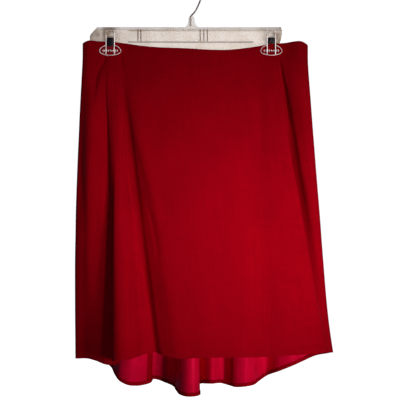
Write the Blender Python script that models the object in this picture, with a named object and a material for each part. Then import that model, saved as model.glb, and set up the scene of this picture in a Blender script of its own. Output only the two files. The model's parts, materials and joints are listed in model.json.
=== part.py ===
"""High-low skirt in crepe-backed satin, hung by its waist from a clear clip hanger.

The model is in metres with +Z up. The skirt's front faces -Y and its right, seen from the
front, is +X. The origin is the point where the hanger's hook rests on a rail. Sizes below
are in millimetres and are turned into metres as each mesh is made.
"""
import math
from collections import namedtuple

import bmesh
import bpy
import numpy as np

MM = 0.001

# ---- Driving dimensions, in millimetres ----
WALL = 1.6                 # crepe with its satin back, as one wall
TURNED_WALL = 1.2          # the cloth again where it is turned in
GAP = 0.3                  # clearance between pieces that touch
ALLOWANCE = 10.0           # each pressed-open seam allowance
CLIPPED_PART = 0.045       # top part of the drop, held flat and upright
SPREAD_SOFTNESS = 0.05     # how gently the folds start below that
ALLOWANCE_END = 0.981      # share of the drop where the seam allowances stop
TURN_UP_START = 0.987      # share of the drop where the hem's turn-up begins

HANGER_LEFT = -187.0
HANGER_RIGHT = 168.5
HANGER_TOP = -86.2
HANGER_BOTTOM = -130.0
WEB = 2.4                  # thickness of the hanger's flat plate
FLANGE_DEPTH = 9.2         # of the rail along the plate's top edge
FLANGE_Z = (-88.8, -85.8)
LOWER_RIB_X = (-116.0, 116.0)
LOWER_RIB_Z = (-113.6, -111.4)
LOWER_RIB_DEPTH = 6.2
UPRIGHT_RIBS_X = (-96.0, 19.0, 30.5)
UPRIGHT_RIB_WIDTH = 1.8
UPRIGHT_RIB_DEPTH = 5.2
CLIPS_X = (-148.0, 148.0)
JAW_Z = -128.6             # the widest place of each oval jaw
JAW_HALF_WIDTH = 20.0
JAW_RISE = 14.0            # of the oval above that place, where it runs into the stem
JAW_DROP = 10.3            # and below it
JAW_PLATE = 2.0
JAW_RIB_WIDTH = 1.4
JAW_RIB_HEIGHT = 0.9
LEAN_Z = (-112.4, -109.6)  # the block behind the jaw's stem, which leans on the plate
STEM_HALF_WIDTH = 8.4
STEM_TOP = -92.0
STEM_CORNER = 3.0          # its upper corners are cut off by this much
PINCH_Y = -4.2             # plane in which front and back are clipped together
PINCHED_HALF = 2.2         # from that plane to the outside of the clipped cloth
SPRING_WIDTH = 12.6
SPRING_STRIP = 0.8
SPRING_BEND = 1.6
SPRING_FRONT_END_Z = {"left": -122.2, "right": -117.2}
SPRING_REAR_END_Z = -117.0
WINDOW_Z = (-109.0, -104.0)

WIRE_RADIUS = 1.5
HOOK_RADIUS = 22.5         # of the wire's centre line
BOSS_X = 1.2
WIRE_X = -0.8              # the wire's straight end stands left of the boss's middle
BORE_RADIUS = WIRE_RADIUS + GAP
BORE_BOTTOM = -83.0
BOSS_TOP = -66.4
BOSS_DEPTH = 8.0
BOSS_PROFILE = ((15.5, -87.4), (9.2, -83.4), (6.4, -78.0), (4.9, BOSS_TOP))  # half-width, z
WIRE_RISE = ((WIRE_X, -82.7), (WIRE_X, -74.0), (WIRE_X, -66.6), (-0.2, -64.9), (1.3, -63.0),
             (3.7, -60.6), (6.5, -57.6), (9.0, -53.8), (11.4, -49.4), (13.7, -44.6),
             (15.7, -39.8))  # x, z from the bore to the loop
LOOP_FROM_Z = -34.7        # where the wire joins the round of the hook
LOOP_TO_ANGLE = 205        # where the round ends, in degrees

# ---- The waist edge, once round from the left side seam, front first ----
Waist = namedtuple("Waist", "name x y z")
WAIST = (
    Waist("left side seam", -199, -4, -117.0),
    Waist("left front curl", -189, -11, -113.6),
    Waist("left of left clip", -170, -2.2, -112.4),
    Waist("under left clip", -148, -2.2, -113.4),
    Waist("right of left clip", -127, -2.2, -115.6),
    Waist("front sag, left", -84, -7, -122.6),
    Waist("front sag, middle", -10, -11, -127.4),
    Waist("front sag, right", 70, -8.5, -129.4),
    Waist("left of right clip", 127, -2.2, -121.0),
    Waist("under right clip", 148, -2.2, -117.4),
    Waist("right of right clip", 170, -2.2, -115.8),
    Waist("right front curl", 205, -9, -114.6),
    Waist("right side seam", 216, 1, -119.0),
    Waist("right back curl", 205, 11, -117.0),
    Waist("back, right of right clip", 170, 2.2, -117.0),
    Waist("back, under right clip", 148, 2.2, -119.4),
    Waist("back, left of right clip", 127, 2.2, -123.0),
    Waist("back sag, right", 65, 2.7, -130.8),
    Waist("back sag, middle", 0, 2.8, -129.8),
    Waist("back sag, left", -65, 2.7, -126.2),
    Waist("back, right of left clip", -127, 2.2, -117.6),
    Waist("back, under left clip", -148, 2.2, -115.4),
    Waist("back, left of left clip", -170, 2.2, -114.4),
    Waist("left back curl", -186, 1.6, -114.6),
)

# ---- The folds: each row is one line of the cloth from the waist to the hem ----
# waist: how far round the waist the line starts; x, y, z: where it ends at the hem,
# y from the plane of the clips; belly: how far it stands out of the straight, half-way.
Line = namedtuple("Line", "name waist x y z belly")
LINES = (
    Line("left side seam", 0, -225, 60, -711, 6),
    Line("left flank", 15, -205, 42, -706, 7),
    Line("left hollow, start", 27, -178, 18, -706, 6),
    Line("left hollow, floor", 36, -157, 2, -709, 4),
    Line("left hollow, back", 43, -140, -5, -708, 1),
    Line("left hollow, inner", 48, -130, -14, -703, 0),
    Line("ridge root", 52, -132, -29, -697, 0),
    Line("ridge edge", 55, -137, -43, -692, 1),
    Line("ridge front", 59, -126, -54, -688, 3),
    Line("ridge right", 64, -109, -54, -687, 3),
    Line("ridge flank", 69, -95, -40, -685, 0),
    Line("left valley, side", 73, -81, -22, -684, -3),
    Line("left valley, floor", 78, -65, -13, -683, -4),
    Line("left valley, out", 86, -44, -22, -686, -1),
    Line("apron, left", 104, -18, -38, -688, 4),
    Line("apron, left of middle", 140, 14, -46, -686, 6),
    Line("apron, middle", 212, 56, -49, -684, 6),
    Line("apron, right of middle", 268, 99, -49, -684, 6),
    Line("apron, soft trough", 318, 144, -41, -684, 3),
    Line("apron, right", 336, 170, -42, -682, 5),
    Line("apron, right turn", 350, 203, -38, -681, 5),
    Line("right crease, near side", 361, 243, -20, -682, 3),
    Line("right crease", 368, 256, -4, -685, -7),
    Line("right crease, far side", 374, 264, 10, -688, -1),
    Line("right side seam", 425, 262.5, 46, -697, 2),
    Line("right back turn", 443, 238, 58, -705, 4),
    Line("right back hollow", 456, 218, 62, -715, 6),
    Line("fifth lobe", 482, 193, 54, -724, 4),
    Line("right cave, near side", 500, 170, 60, -735, 5),
    Line("right cave", 520, 145, 86, -752, 8),
    Line("right cave, far side", 530, 131, 71, -757, 6),
    Line("fourth lobe, right", 538, 119, 53, -760, 3),
    Line("fourth lobe", 548, 102, 44, -761, 2),
    Line("fourth lobe, left", 560, 87, 48, -763, 3),
    Line("right back seam", 575, 74, 61, -763, 5),
    Line("right seam hollow", 589, 60, 68, -761, 6),
    Line("third lobe", 600, 38, 50, -757, 3),
    Line("narrow gap, near side", 609, 26, 62, -760, 4),
    Line("narrow gap", 617, 16, 82, -766, 8),
    Line("narrow gap, back", 624, 6, 87, -771, 9),
    Line("second lobe, root", 630, 2, 70, -772, 6),
    Line("second lobe, neck", 635, 10, 43, -771, 3),
    Line("second lobe, edge", 640, 16, 18, -769, 1),
    Line("second lobe, right", 644, 9, 5, -768, 0),
    Line("second lobe, crest", 648, -5, 2, -768, 0),
    Line("second lobe, left", 653, -19, 13, -768, 1),
    Line("second lobe, flank", 659, -28, 36, -766, 3),
    Line("middle cave, near side", 667, -35, 62, -765, 6),
    Line("middle cave", 680, -55, 87, -764, 9),
    Line("middle cave, far side", 688, -68, 79, -758, 7),
    Line("left back seam", 699, -81, 64, -759, 5),
    Line("first lobe, right", 715, -105, 36, -757, 2),
    Line("first lobe", 726, -120, 30, -754, 2),
    Line("first lobe, left", 737, -135, 34, -748, 3),
    Line("first lobe, edge", 750, -147, 50, -739, 5),
    Line("left back hollow, start", 768, -157, 70, -730, 7),
    Line("left back hollow", 792, -178, 87, -723, 9),
    Line("left back turn", 818, -206, 86, -717, 7),
)

# ---- The cut: each panel runs between two of those lines ----
Panel = namedtuple("Panel", "name first last")
PANELS = (
    Panel("front_panel", "left side seam", "right side seam"),
    Panel("back_right_gore", "right side seam", "right back seam"),
    Panel("back_centre_gore", "right back seam", "left back seam"),
    Panel("back_left_gore", "left back seam", "left side seam"),
)
DROP_STEPS = (0, 0.045, 0.09, 0.16, 0.26, 0.38, 0.52, 0.66, 0.8, 0.91, 0.981, 0.987, 1.0)
COLUMN_WIDTH = 11.0        # the hem's length to a column of faces, about
MOST_COLUMNS = 4           # between one line and the next

OUTSIDE_RED = (0.27, 0.003, 0.012)
TURNED_RED = (0.2, 0.003, 0.012)


# ---- Smooth closed curves ----
def closed_curve(knots, values, turn, rise, places, steady=False):
    """Read a smooth curve through values at knots, which gains rise with each turn."""
    knots = np.asarray(knots, dtype=float)
    values = np.asarray(values, dtype=float)
    spans = np.diff(np.append(knots, turn))
    following = np.roll(values, -1)
    following[-1] += rise
    after = (following - values) / spans
    before = np.roll(after, 1)
    spans_before = np.roll(spans, 1)
    if steady:
        tangents = 2.0 * before * after / (before + after)
    else:
        tangents = (before * spans + after * spans_before) / (spans + spans_before)
    laps = np.floor_divide(places, turn)
    inside = places - laps * turn
    index = np.clip(np.searchsorted(knots, inside, side="right") - 1, 0, len(knots) - 1)
    width = spans[index]
    t = (inside - knots[index]) / width
    start = values[index] * (1 + 2 * t) * (1 - t) ** 2
    end = following[index] * t * t * (3 - 2 * t)
    lead = np.roll(tangents, -1)[index] * width * t * t * (t - 1)
    leave = tangents[index] * width * t * (1 - t) ** 2
    return start + end + leave + lead + laps * rise


def lengths_round(rows):
    """Distance of each row from the first in plan, and once all the way round."""
    plan = np.array([(row.x, row.y) for row in rows], dtype=float)
    steps = np.linalg.norm(np.roll(plan, -1, axis=0) - plan, axis=1)
    return np.concatenate(([0.0], np.cumsum(steps)[:-1])), steps.sum()


WAIST_AT, WAIST_ROUND = lengths_round(WAIST)
LINES_AT, HEM_ROUND = lengths_round(LINES)


def waist_value(axis, around):
    """One coordinate of the waist edge, where the line that ends at this place starts."""
    started = closed_curve(LINES_AT, [line.waist for line in LINES], HEM_ROUND, WAIST_ROUND,
                           around, steady=True)
    return closed_curve(WAIST_AT, [getattr(row, axis) for row in WAIST], WAIST_ROUND, 0.0, started)


def hem_value(field, around):
    """One value of the fold table, read smoothly between its lines."""
    return closed_curve(LINES_AT, [getattr(line, field) for line in LINES], HEM_ROUND, 0.0, around)


def straight_plan(around, spread):
    """Plan position on the straight way from the waist edge to the hem."""
    return np.stack([waist_value(axis, around) * (1 - spread) + hem_value(axis, around) * spread
                     for axis in ("x", "y")], axis=-1)


def skirt_points(around, drop):
    """Points of the skirt's outer face, around in mm along the hem and drop from 0 to 1."""
    below = np.clip((drop - CLIPPED_PART) / (1 - CLIPPED_PART), 0, 1)
    spread = below ** 2 * (1 + SPREAD_SOFTNESS) / (below + SPREAD_SOFTNESS)
    along = straight_plan(around + 0.5, spread) - straight_plan(around - 0.5, spread)
    outward = np.stack([along[..., 1], -along[..., 0]], axis=-1)
    outward /= np.linalg.norm(outward, axis=-1, keepdims=True)
    bulge = hem_value("belly", around) * np.sin(math.pi * below)
    plan = straight_plan(around, spread) + outward * bulge[..., None]
    height = waist_value("z", around) * (1 - drop) + hem_value("z", around) * drop
    return np.stack([plan[..., 0], plan[..., 1] + PINCH_Y, height], axis=-1)


def skirt_normals(around, drop):
    """Unit normals of the outer face, pointing out of the skirt."""
    step_round, step_down = 0.6, 0.004
    upper = np.clip(drop - step_down, 0, 1)
    lower = np.clip(drop + step_down, 0, 1)
    across = skirt_points(around + step_round, drop) - skirt_points(around - step_round, drop)
    down = skirt_points(around, lower) - skirt_points(around, upper)
    normals = np.cross(down, across)
    return normals / np.linalg.norm(normals, axis=-1, keepdims=True)


# ---- Panels ----
def line_place(name):
    """Distance along the hem at which the named line ends."""
    return float(LINES_AT[[line.name for line in LINES].index(name)])


def seam_columns(seam, side, drops):
    """Places round the hem at half and all of a seam allowance from a seam, for each drop."""
    reach = 1.0
    base = np.full_like(drops, seam)
    away = skirt_points(base + side * reach, drops) - skirt_points(base, drops)
    stretch = np.linalg.norm(away, axis=-1) / reach
    return [base + side * ALLOWANCE * share / stretch for share in (0.5, 1.0)]


def panel_columns(panel, drops):
    """The panel's columns as places round the hem, one row for each drop."""
    first = line_place(panel.first)
    last = line_place(panel.last)
    if last <= first:
        last += HEM_ROUND
    marks = np.concatenate((LINES_AT, LINES_AT + HEM_ROUND))
    marks = [mark for mark in marks if first < mark < last]
    near = seam_columns(first, 1, drops)
    far = seam_columns(last, -1, drops)[::-1]
    columns = [np.full_like(drops, first)] + near
    columns.append(np.full_like(drops, marks[0]))
    for start, end in zip(marks[:-1], marks[1:]):
        count = min(MOST_COLUMNS, max(1, round((end - start) / COLUMN_WIDTH)))
        columns += [np.full_like(drops, start + (end - start) * k / count)
                    for k in range(1, count + 1)]
    return np.array(columns + far + [np.full_like(drops, last)])


def wall_grids(columns, drops, outer_depth, inner_depth):
    """Outer and inner faces of a wall between two depths below the skirt's outer face."""
    levels = np.broadcast_to(drops, columns.shape)
    points = skirt_points(columns, levels)
    normals = skirt_normals(columns, levels)
    for end, neighbour in ((0, 1), (-1, -2)):
        inward = points[neighbour] - points[end]
        inward /= np.linalg.norm(inward, axis=-1, keepdims=True)
        points[end] += inward * GAP / 2
    return points - normals * outer_depth, points - normals * inner_depth


def wall_mesh(name, outer, inner):
    """Closed mesh of a wall from its two grids of points."""
    columns, rows = outer.shape[:2]
    model = bmesh.new()
    faces = []
    for grid in (outer, inner):
        faces.append([[model.verts.new(grid[i, j] * MM) for j in range(rows)]
                      for i in range(columns)])
    out, ins = faces
    for i in range(columns - 1):
        for j in range(rows - 1):
            model.faces.new((out[i][j], out[i][j + 1], out[i + 1][j + 1], out[i + 1][j]))
            model.faces.new((ins[i][j], ins[i + 1][j], ins[i + 1][j + 1], ins[i][j + 1]))
        for j in (0, rows - 1):
            model.faces.new((out[i][j], out[i + 1][j], ins[i + 1][j], ins[i][j]))
    for j in range(rows - 1):
        for i in (0, columns - 1):
            model.faces.new((out[i][j], out[i][j + 1], ins[i][j + 1], ins[i][j]))
    bmesh.ops.recalc_face_normals(model, faces=model.faces[:])
    mesh = bpy.data.meshes.new(name)
    model.to_mesh(mesh)
    model.free()
    return mesh


def make_panel(panel, material):
    """One cut panel, with its pressed-open allowances and its turned-up hem."""
    drops = np.array(DROP_STEPS, dtype=float)
    columns = panel_columns(panel, drops)
    outer, inner = wall_grids(columns, drops, 0.0, WALL)
    add_object(panel.name, wall_mesh(panel.name, outer, inner), material["outside"])
    lining_depth = WALL + GAP
    outer, inner = wall_grids(columns, drops, lining_depth, lining_depth + TURNED_WALL)
    upper = DROP_STEPS.index(ALLOWANCE_END) + 1
    lower = DROP_STEPS.index(TURN_UP_START)
    for label, part in (("first", slice(0, 3)), ("last", slice(-3, None))):
        name = f"{panel.name}_{label}_allowance"
        mesh = wall_mesh(name, outer[part, :upper], inner[part, :upper])
        add_object(name, mesh, material["turned"])
    name = f"{panel.name}_hem_turn_up"
    add_object(name, wall_mesh(name, outer[:, lower:], inner[:, lower:]), material["turned"])


# ---- Hanger ----
def extruded(name, outline, near, far, plane="xz"):
    """Closed prism of an outline of (a, b) points in mm, from near to far along the third axis."""
    model = bmesh.new()
    ends = []
    for level in (near, far):
        if plane == "xz":
            ends.append([model.verts.new((a * MM, level * MM, b * MM)) for a, b in outline])
        else:
            ends.append([model.verts.new((level * MM, a * MM, b * MM)) for a, b in outline])
    start, end = ends
    count = len(outline)
    model.faces.new(start)
    model.faces.new(end[::-1])
    for i in range(count):
        j = (i + 1) % count
        model.faces.new((start[i], end[i], end[j], start[j]))
    bmesh.ops.recalc_face_normals(model, faces=model.faces[:])
    mesh = bpy.data.meshes.new(name)
    model.to_mesh(mesh)
    model.free()
    return mesh


def box_outline(left, right, low, high):
    """Four corners of a rectangle."""
    return [(left, low), (right, low), (right, high), (left, high)]


def oval_arc(centre_x, from_angle, to_angle, steps):
    """Points of a jaw's oval between two angles in degrees."""
    points = []
    for a in np.radians(np.linspace(from_angle, to_angle, steps)):
        reach = JAW_RISE if math.sin(a) > 0 else JAW_DROP
        points.append((centre_x + JAW_HALF_WIDTH * math.cos(a), JAW_Z + reach * math.sin(a)))
    return points


def combine(target, others, operation):
    """Add or cut the other objects with exact Boolean modifiers."""
    for other in others:
        step = target.modifiers.new(f"{operation.title()} {other.name}", "BOOLEAN")
        step.operation = operation
        step.solver = "EXACT"
        step.object = other
        other.hide_render = True
        other.display_type = "WIRE"


def helper(name, mesh):
    """An object that only shapes another one."""
    shape = bpy.data.objects.new(name, mesh)
    bpy.context.scene.collection.objects.link(shape)
    return shape


def bar_outline():
    """Front outline of the hanger's plate, with a rear jaw hanging down at each clip."""
    meet = math.degrees(math.asin((HANGER_BOTTOM - JAW_Z) / JAW_DROP))
    points = [(HANGER_LEFT + 13, HANGER_TOP), (HANGER_LEFT, HANGER_TOP - 14)]
    points.append((HANGER_LEFT, HANGER_BOTTOM + 8))
    points.append((HANGER_LEFT + 5, HANGER_BOTTOM))
    for x in CLIPS_X:
        points += oval_arc(x, 180 - meet, 360 + meet, 9)
    points.append((HANGER_RIGHT - 5, HANGER_TOP - 27))
    points.append((HANGER_RIGHT, HANGER_TOP - 12))
    points.append((HANGER_RIGHT - 1.5, HANGER_TOP))
    return points


def make_bar(material):
    """Plate with rear jaws, top flange, lower rib, upright ribs, and the boss for the hook."""
    bar = add_object("hanger_bar", extruded("hanger_bar", bar_outline(), -WEB / 2, WEB / 2),
                     material["clear"])
    flange = box_outline(HANGER_LEFT + 13.4, HANGER_RIGHT - 2.2, *FLANGE_Z)
    boss = [(BOSS_X + half, z) for half, z in BOSS_PROFILE]
    boss += [(BOSS_X - half, z) for half, z in BOSS_PROFILE[::-1]]
    added = [("flange", flange, FLANGE_DEPTH),
             ("lower_rib", box_outline(*LOWER_RIB_X, *LOWER_RIB_Z), LOWER_RIB_DEPTH),
             ("boss", boss, BOSS_DEPTH)]
    for x in UPRIGHT_RIBS_X:
        half = UPRIGHT_RIB_WIDTH / 2
        rib = box_outline(x - half, x + half, sum(LOWER_RIB_Z) / 2, sum(FLANGE_Z) / 2)
        added.append((f"rib_{x:.0f}", rib, UPRIGHT_RIB_DEPTH))
    combine(bar, [helper(f"shape_{label}", extruded(label, outline, -depth / 2, depth / 2))
                  for label, outline, depth in added], "UNION")
    ring = [(WIRE_X + BORE_RADIUS * math.cos(a), BORE_RADIUS * math.sin(a))
            for a in np.linspace(0, 2 * math.pi, 12, endpoint=False)]
    past = 5.0
    cuts = [helper("cut_bore", upright_prism("cut_bore", ring, BORE_BOTTOM, BOSS_TOP + past))]
    for x in CLIPS_X:
        half = SPRING_WIDTH / 2 + 2 * GAP
        outline = box_outline(x - half, x + half, *WINDOW_Z)
        cuts.append(helper(f"cut_window_{x:.0f}", extruded(f"cut_{x:.0f}", outline, -past, past)))
    combine(bar, cuts, "DIFFERENCE")


def upright_prism(name, ring, low, high):
    """Closed upright prism of a ring of (x, y) points in mm."""
    model = bmesh.new()
    bottom = [model.verts.new((x * MM, y * MM, low * MM)) for x, y in ring]
    top = [model.verts.new((x * MM, y * MM, high * MM)) for x, y in ring]
    model.faces.new(bottom[::-1])
    model.faces.new(top)
    for i in range(len(ring)):
        j = (i + 1) % len(ring)
        model.faces.new((bottom[i], bottom[j], top[j], top[i]))
    bmesh.ops.recalc_face_normals(model, faces=model.faces[:])
    mesh = bpy.data.meshes.new(name)
    model.to_mesh(mesh)
    model.free()
    return mesh


def make_jaw(side, x, material):
    """Front jaw: an oval pad on a stem, ribbed, with a block that leans on the plate."""
    back = PINCH_Y - PINCHED_HALF - GAP
    front = back - JAW_PLATE
    neck = math.degrees(math.acos(STEM_HALF_WIDTH / JAW_HALF_WIDTH))
    corner = STEM_HALF_WIDTH - STEM_CORNER
    outline = [(x + STEM_HALF_WIDTH, STEM_TOP - STEM_CORNER), (x + corner, STEM_TOP),
               (x - corner, STEM_TOP), (x - STEM_HALF_WIDTH, STEM_TOP - STEM_CORNER)]
    outline += oval_arc(x, 180 - neck, 360 + neck, 15)
    name = f"clip_jaw_{side}"
    jaw = add_object(name, extruded(name, outline, back, front), material["clear"])
    half = STEM_HALF_WIDTH - 2 * GAP
    sunk = JAW_PLATE / 4
    leaning = box_outline(x - half, x + half, *LEAN_Z)
    added = [helper(f"shape_lean_{side}", extruded(f"lean_{side}", leaning, back - sunk,
                                                   -WEB / 2 - GAP))]
    for edge in (-1, 1):
        middle = x + edge * (STEM_HALF_WIDTH - 0.2 - JAW_RIB_WIDTH / 2)
        rib = box_outline(middle - JAW_RIB_WIDTH / 2, middle + JAW_RIB_WIDTH / 2,
                          JAW_Z - 0.75 * JAW_DROP, STEM_TOP - STEM_CORNER - JAW_RIB_WIDTH)
        added.append(helper(f"shape_{side}_{edge}", extruded(f"rib_{side}_{edge}", rib,
                                                             back - sunk, front - JAW_RIB_HEIGHT)))
    combine(jaw, added, "UNION")
    half = SPRING_WIDTH / 2 + GAP
    window = box_outline(x - half, x + half, *WINDOW_Z)
    cut = extruded(f"cut_jaw_{side}", window, back + JAW_PLATE, front - JAW_PLATE)
    combine(jaw, [helper(f"cut_jaw_{side}", cut)], "DIFFERENCE")


def make_spring(side, x, material):
    """Steel strip bent over through both windows, which presses the jaw shut."""
    front = PINCH_Y - PINCHED_HALF - GAP - JAW_PLATE - GAP - SPRING_STRIP / 2
    rear = WEB / 2 + GAP + SPRING_STRIP / 2
    top = sum(WINDOW_Z) / 2
    bend = SPRING_BEND
    quarter = [(math.cos(a), math.sin(a)) for a in np.radians((0, 30, 60, 90))]
    middle = [(front, SPRING_FRONT_END_Z[side]), (front, top - bend)]
    middle += [(front + bend - bend * c, top - bend + bend * s) for c, s in quarter[1:]]
    middle += [(rear - bend + bend * c, top - bend + bend * s) for c, s in quarter[::-1]]
    middle.append((rear, SPRING_REAR_END_Z))
    path = np.array(middle)
    along = np.gradient(path, axis=0)
    along /= np.linalg.norm(along, axis=1, keepdims=True)
    sideways = np.stack([-along[:, 1], along[:, 0]], axis=1) * SPRING_STRIP / 2
    outline = [tuple(p) for p in path + sideways] + [tuple(p) for p in (path - sideways)[::-1]]
    name = f"clip_spring_{side}"
    mesh = extruded(name, outline, x - SPRING_WIDTH / 2, x + SPRING_WIDTH / 2, plane="yz")
    add_object(name, mesh, material["steel"])


def make_hook(material):
    """Wire from the boss, bent right, round over the rail and open at its lower left."""
    centre_z = -(HOOK_RADIUS - WIRE_RADIUS)
    start = math.degrees(math.asin((LOOP_FROM_Z - centre_z) / HOOK_RADIUS))
    path = list(WIRE_RISE)
    path += [(HOOK_RADIUS * math.cos(a), centre_z + HOOK_RADIUS * math.sin(a))
             for a in np.radians(np.linspace(start, LOOP_TO_ANGLE, 26))]
    curve = bpy.data.curves.new("hanger_hook", "CURVE")
    curve.dimensions = "3D"
    curve.bevel_depth = WIRE_RADIUS * MM
    curve.bevel_resolution = 2
    curve.use_fill_caps = True
    spline = curve.splines.new("POLY")
    spline.points.add(len(path) - 1)
    for point, (x, z) in zip(spline.points, path):
        point.co = (x * MM, 0.0, z * MM, 1.0)
    add_object("hanger_hook", curve, material["steel"])


# ---- Scene ----
def make_material(name, colour, roughness, metallic=0.0):
    """A Principled material of one colour."""
    material = bpy.data.materials.new(name)
    material.use_nodes = True
    shader = material.node_tree.nodes["Principled BSDF"]
    shader.inputs["Base Color"].default_value = (*colour, 1.0)
    shader.inputs["Roughness"].default_value = roughness
    shader.inputs["Metallic"].default_value = metallic
    return material


def add_object(name, data, material):
    """Put a piece in the scene under the common parent, with its own copy of a material."""
    own = material.copy()
    own.name = f"{name}_finish"
    data.materials.append(own)
    piece = bpy.data.objects.new(name, data)
    bpy.context.scene.collection.objects.link(piece)
    piece.parent = bpy.data.objects["skirt_on_hanger"]
    return piece


def main():
    """Clear the scene and build the skirt and its hanger."""
    for old in list(bpy.data.objects):
        bpy.data.objects.remove(old, do_unlink=True)
    parent = bpy.data.objects.new("skirt_on_hanger", None)
    bpy.context.scene.collection.objects.link(parent)
    materials = {
        "outside": make_material("red_crepe", OUTSIDE_RED, 0.75),
        "turned": make_material("turned_crepe", TURNED_RED, 0.7),
        "clear": make_material("clear_plastic", (0.8, 0.79, 0.76), 0.12),
        "steel": make_material("dark_steel", (0.09, 0.09, 0.1), 0.35, 1.0),
    }
    for panel in PANELS:
        make_panel(panel, materials)
    make_bar(materials)
    for side, x in zip(("left", "right"), CLIPS_X):
        make_jaw(side, x, materials)
        make_spring(side, x, materials)
    make_hook(materials)


main()
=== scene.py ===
"""Looks of a high-low skirt in satin-backed crepe, hung by its waist from a clear clip hanger.

The frame is in metres with +Z up. The skirt's front faces -Y, and +X is to the right of
someone who faces the front. The origin is where the hanger's hook rests on a rail. Sizes of
the cloth and of the hanger are written in millimetres and turned into metres as each mesh
is made.
"""

import json
import logging
import math
from dataclasses import dataclass, field
from enum import Enum
from typing import Callable, NamedTuple, Sequence

import bmesh
import bpy
import numpy as np
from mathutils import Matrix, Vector

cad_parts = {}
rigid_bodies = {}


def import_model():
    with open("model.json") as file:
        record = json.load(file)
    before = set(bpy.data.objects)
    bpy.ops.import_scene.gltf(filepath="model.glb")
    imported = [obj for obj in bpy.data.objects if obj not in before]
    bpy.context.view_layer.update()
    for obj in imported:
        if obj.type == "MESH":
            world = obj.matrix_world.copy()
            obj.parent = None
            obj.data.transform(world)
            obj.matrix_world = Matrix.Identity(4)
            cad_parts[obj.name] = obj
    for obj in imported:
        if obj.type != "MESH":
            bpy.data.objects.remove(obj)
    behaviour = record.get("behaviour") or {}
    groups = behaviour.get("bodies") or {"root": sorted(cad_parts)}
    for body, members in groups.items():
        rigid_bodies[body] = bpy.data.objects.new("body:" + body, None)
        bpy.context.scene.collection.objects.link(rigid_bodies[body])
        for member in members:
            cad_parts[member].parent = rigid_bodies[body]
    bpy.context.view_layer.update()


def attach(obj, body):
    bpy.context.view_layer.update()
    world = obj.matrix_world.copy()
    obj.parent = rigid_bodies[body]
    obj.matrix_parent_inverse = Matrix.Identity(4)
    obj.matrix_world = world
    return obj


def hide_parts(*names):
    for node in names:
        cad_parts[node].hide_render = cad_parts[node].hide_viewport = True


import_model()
LOG = logging.getLogger("skirt")
MM = 0.001
BODY = "root"
CLIP_PLANE_Y = -4.2
SHARP_ANGLE = math.radians(35)

Array = np.ndarray
Colour = tuple[float, float, float]


# ---------------------------------------------------------------- nodes
def opaque(value: object) -> object:
    """A colour with its alpha, or anything else as it is."""
    return (*value, 1.0) if isinstance(value, tuple) and len(value) == 3 else value


class Signal:
    """A number socket in a node tree, which Python's operators can work on."""

    def __init__(self, kit: "NodeKit", socket: bpy.types.NodeSocket) -> None:
        """Wrap one output socket."""
        self.kit = kit
        self.socket = socket

    def maths(self, operation: str, first: object, second: object) -> "Signal":
        """Work on two signals or numbers with a Math node, such as MULTIPLY."""
        made = self.kit.node("ShaderNodeMath", {"operation": operation}, {0: first, 1: second})
        return Signal(self.kit, made.outputs[0])

    def __add__(self, other: object) -> "Signal":
        """Sum."""
        return self.maths("ADD", self, other)

    __radd__ = __add__

    def __mul__(self, other: object) -> "Signal":
        """Product."""
        return self.maths("MULTIPLY", self, other)

    __rmul__ = __mul__

    def __sub__(self, other: object) -> "Signal":
        """Difference."""
        return self.maths("SUBTRACT", self, other)

    def __rsub__(self, other: object) -> "Signal":
        """Difference, with a number on the left."""
        return self.maths("SUBTRACT", other, self)

    def between(self, low: float, high: float) -> "Signal":
        """Smooth step from 0 at low to 1 at high."""
        made = self.kit.node("ShaderNodeMapRange", {"interpolation_type": "SMOOTHSTEP"},
                             {"Value": self, "From Min": low, "From Max": high})
        return Signal(self.kit, made.outputs[0])


class NodeKit:
    """Adds nodes to one tree."""

    def __init__(self, tree: bpy.types.NodeTree) -> None:
        """Take a tree and empty it."""
        self.tree = tree
        tree.nodes.clear()

    def node(self, kind: str, settings: dict | None = None,
             sockets: dict | None = None) -> bpy.types.Node:
        """Add one node.

        Args:
            kind: the node's type.
            settings: properties of the node, which are set first.
            sockets: values, signals or sockets for its inputs, by name or number.

        Returns:
            The new node.
        """
        made = self.tree.nodes.new(kind)
        for name, value in (settings or {}).items():
            setattr(made, name, value)
        for key, value in (sockets or {}).items():
            source = value.socket if isinstance(value, Signal) else value
            if isinstance(source, bpy.types.NodeSocket):
                self.tree.links.new(source, made.inputs[key])
            else:
                made.inputs[key].default_value = source
        return made


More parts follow.
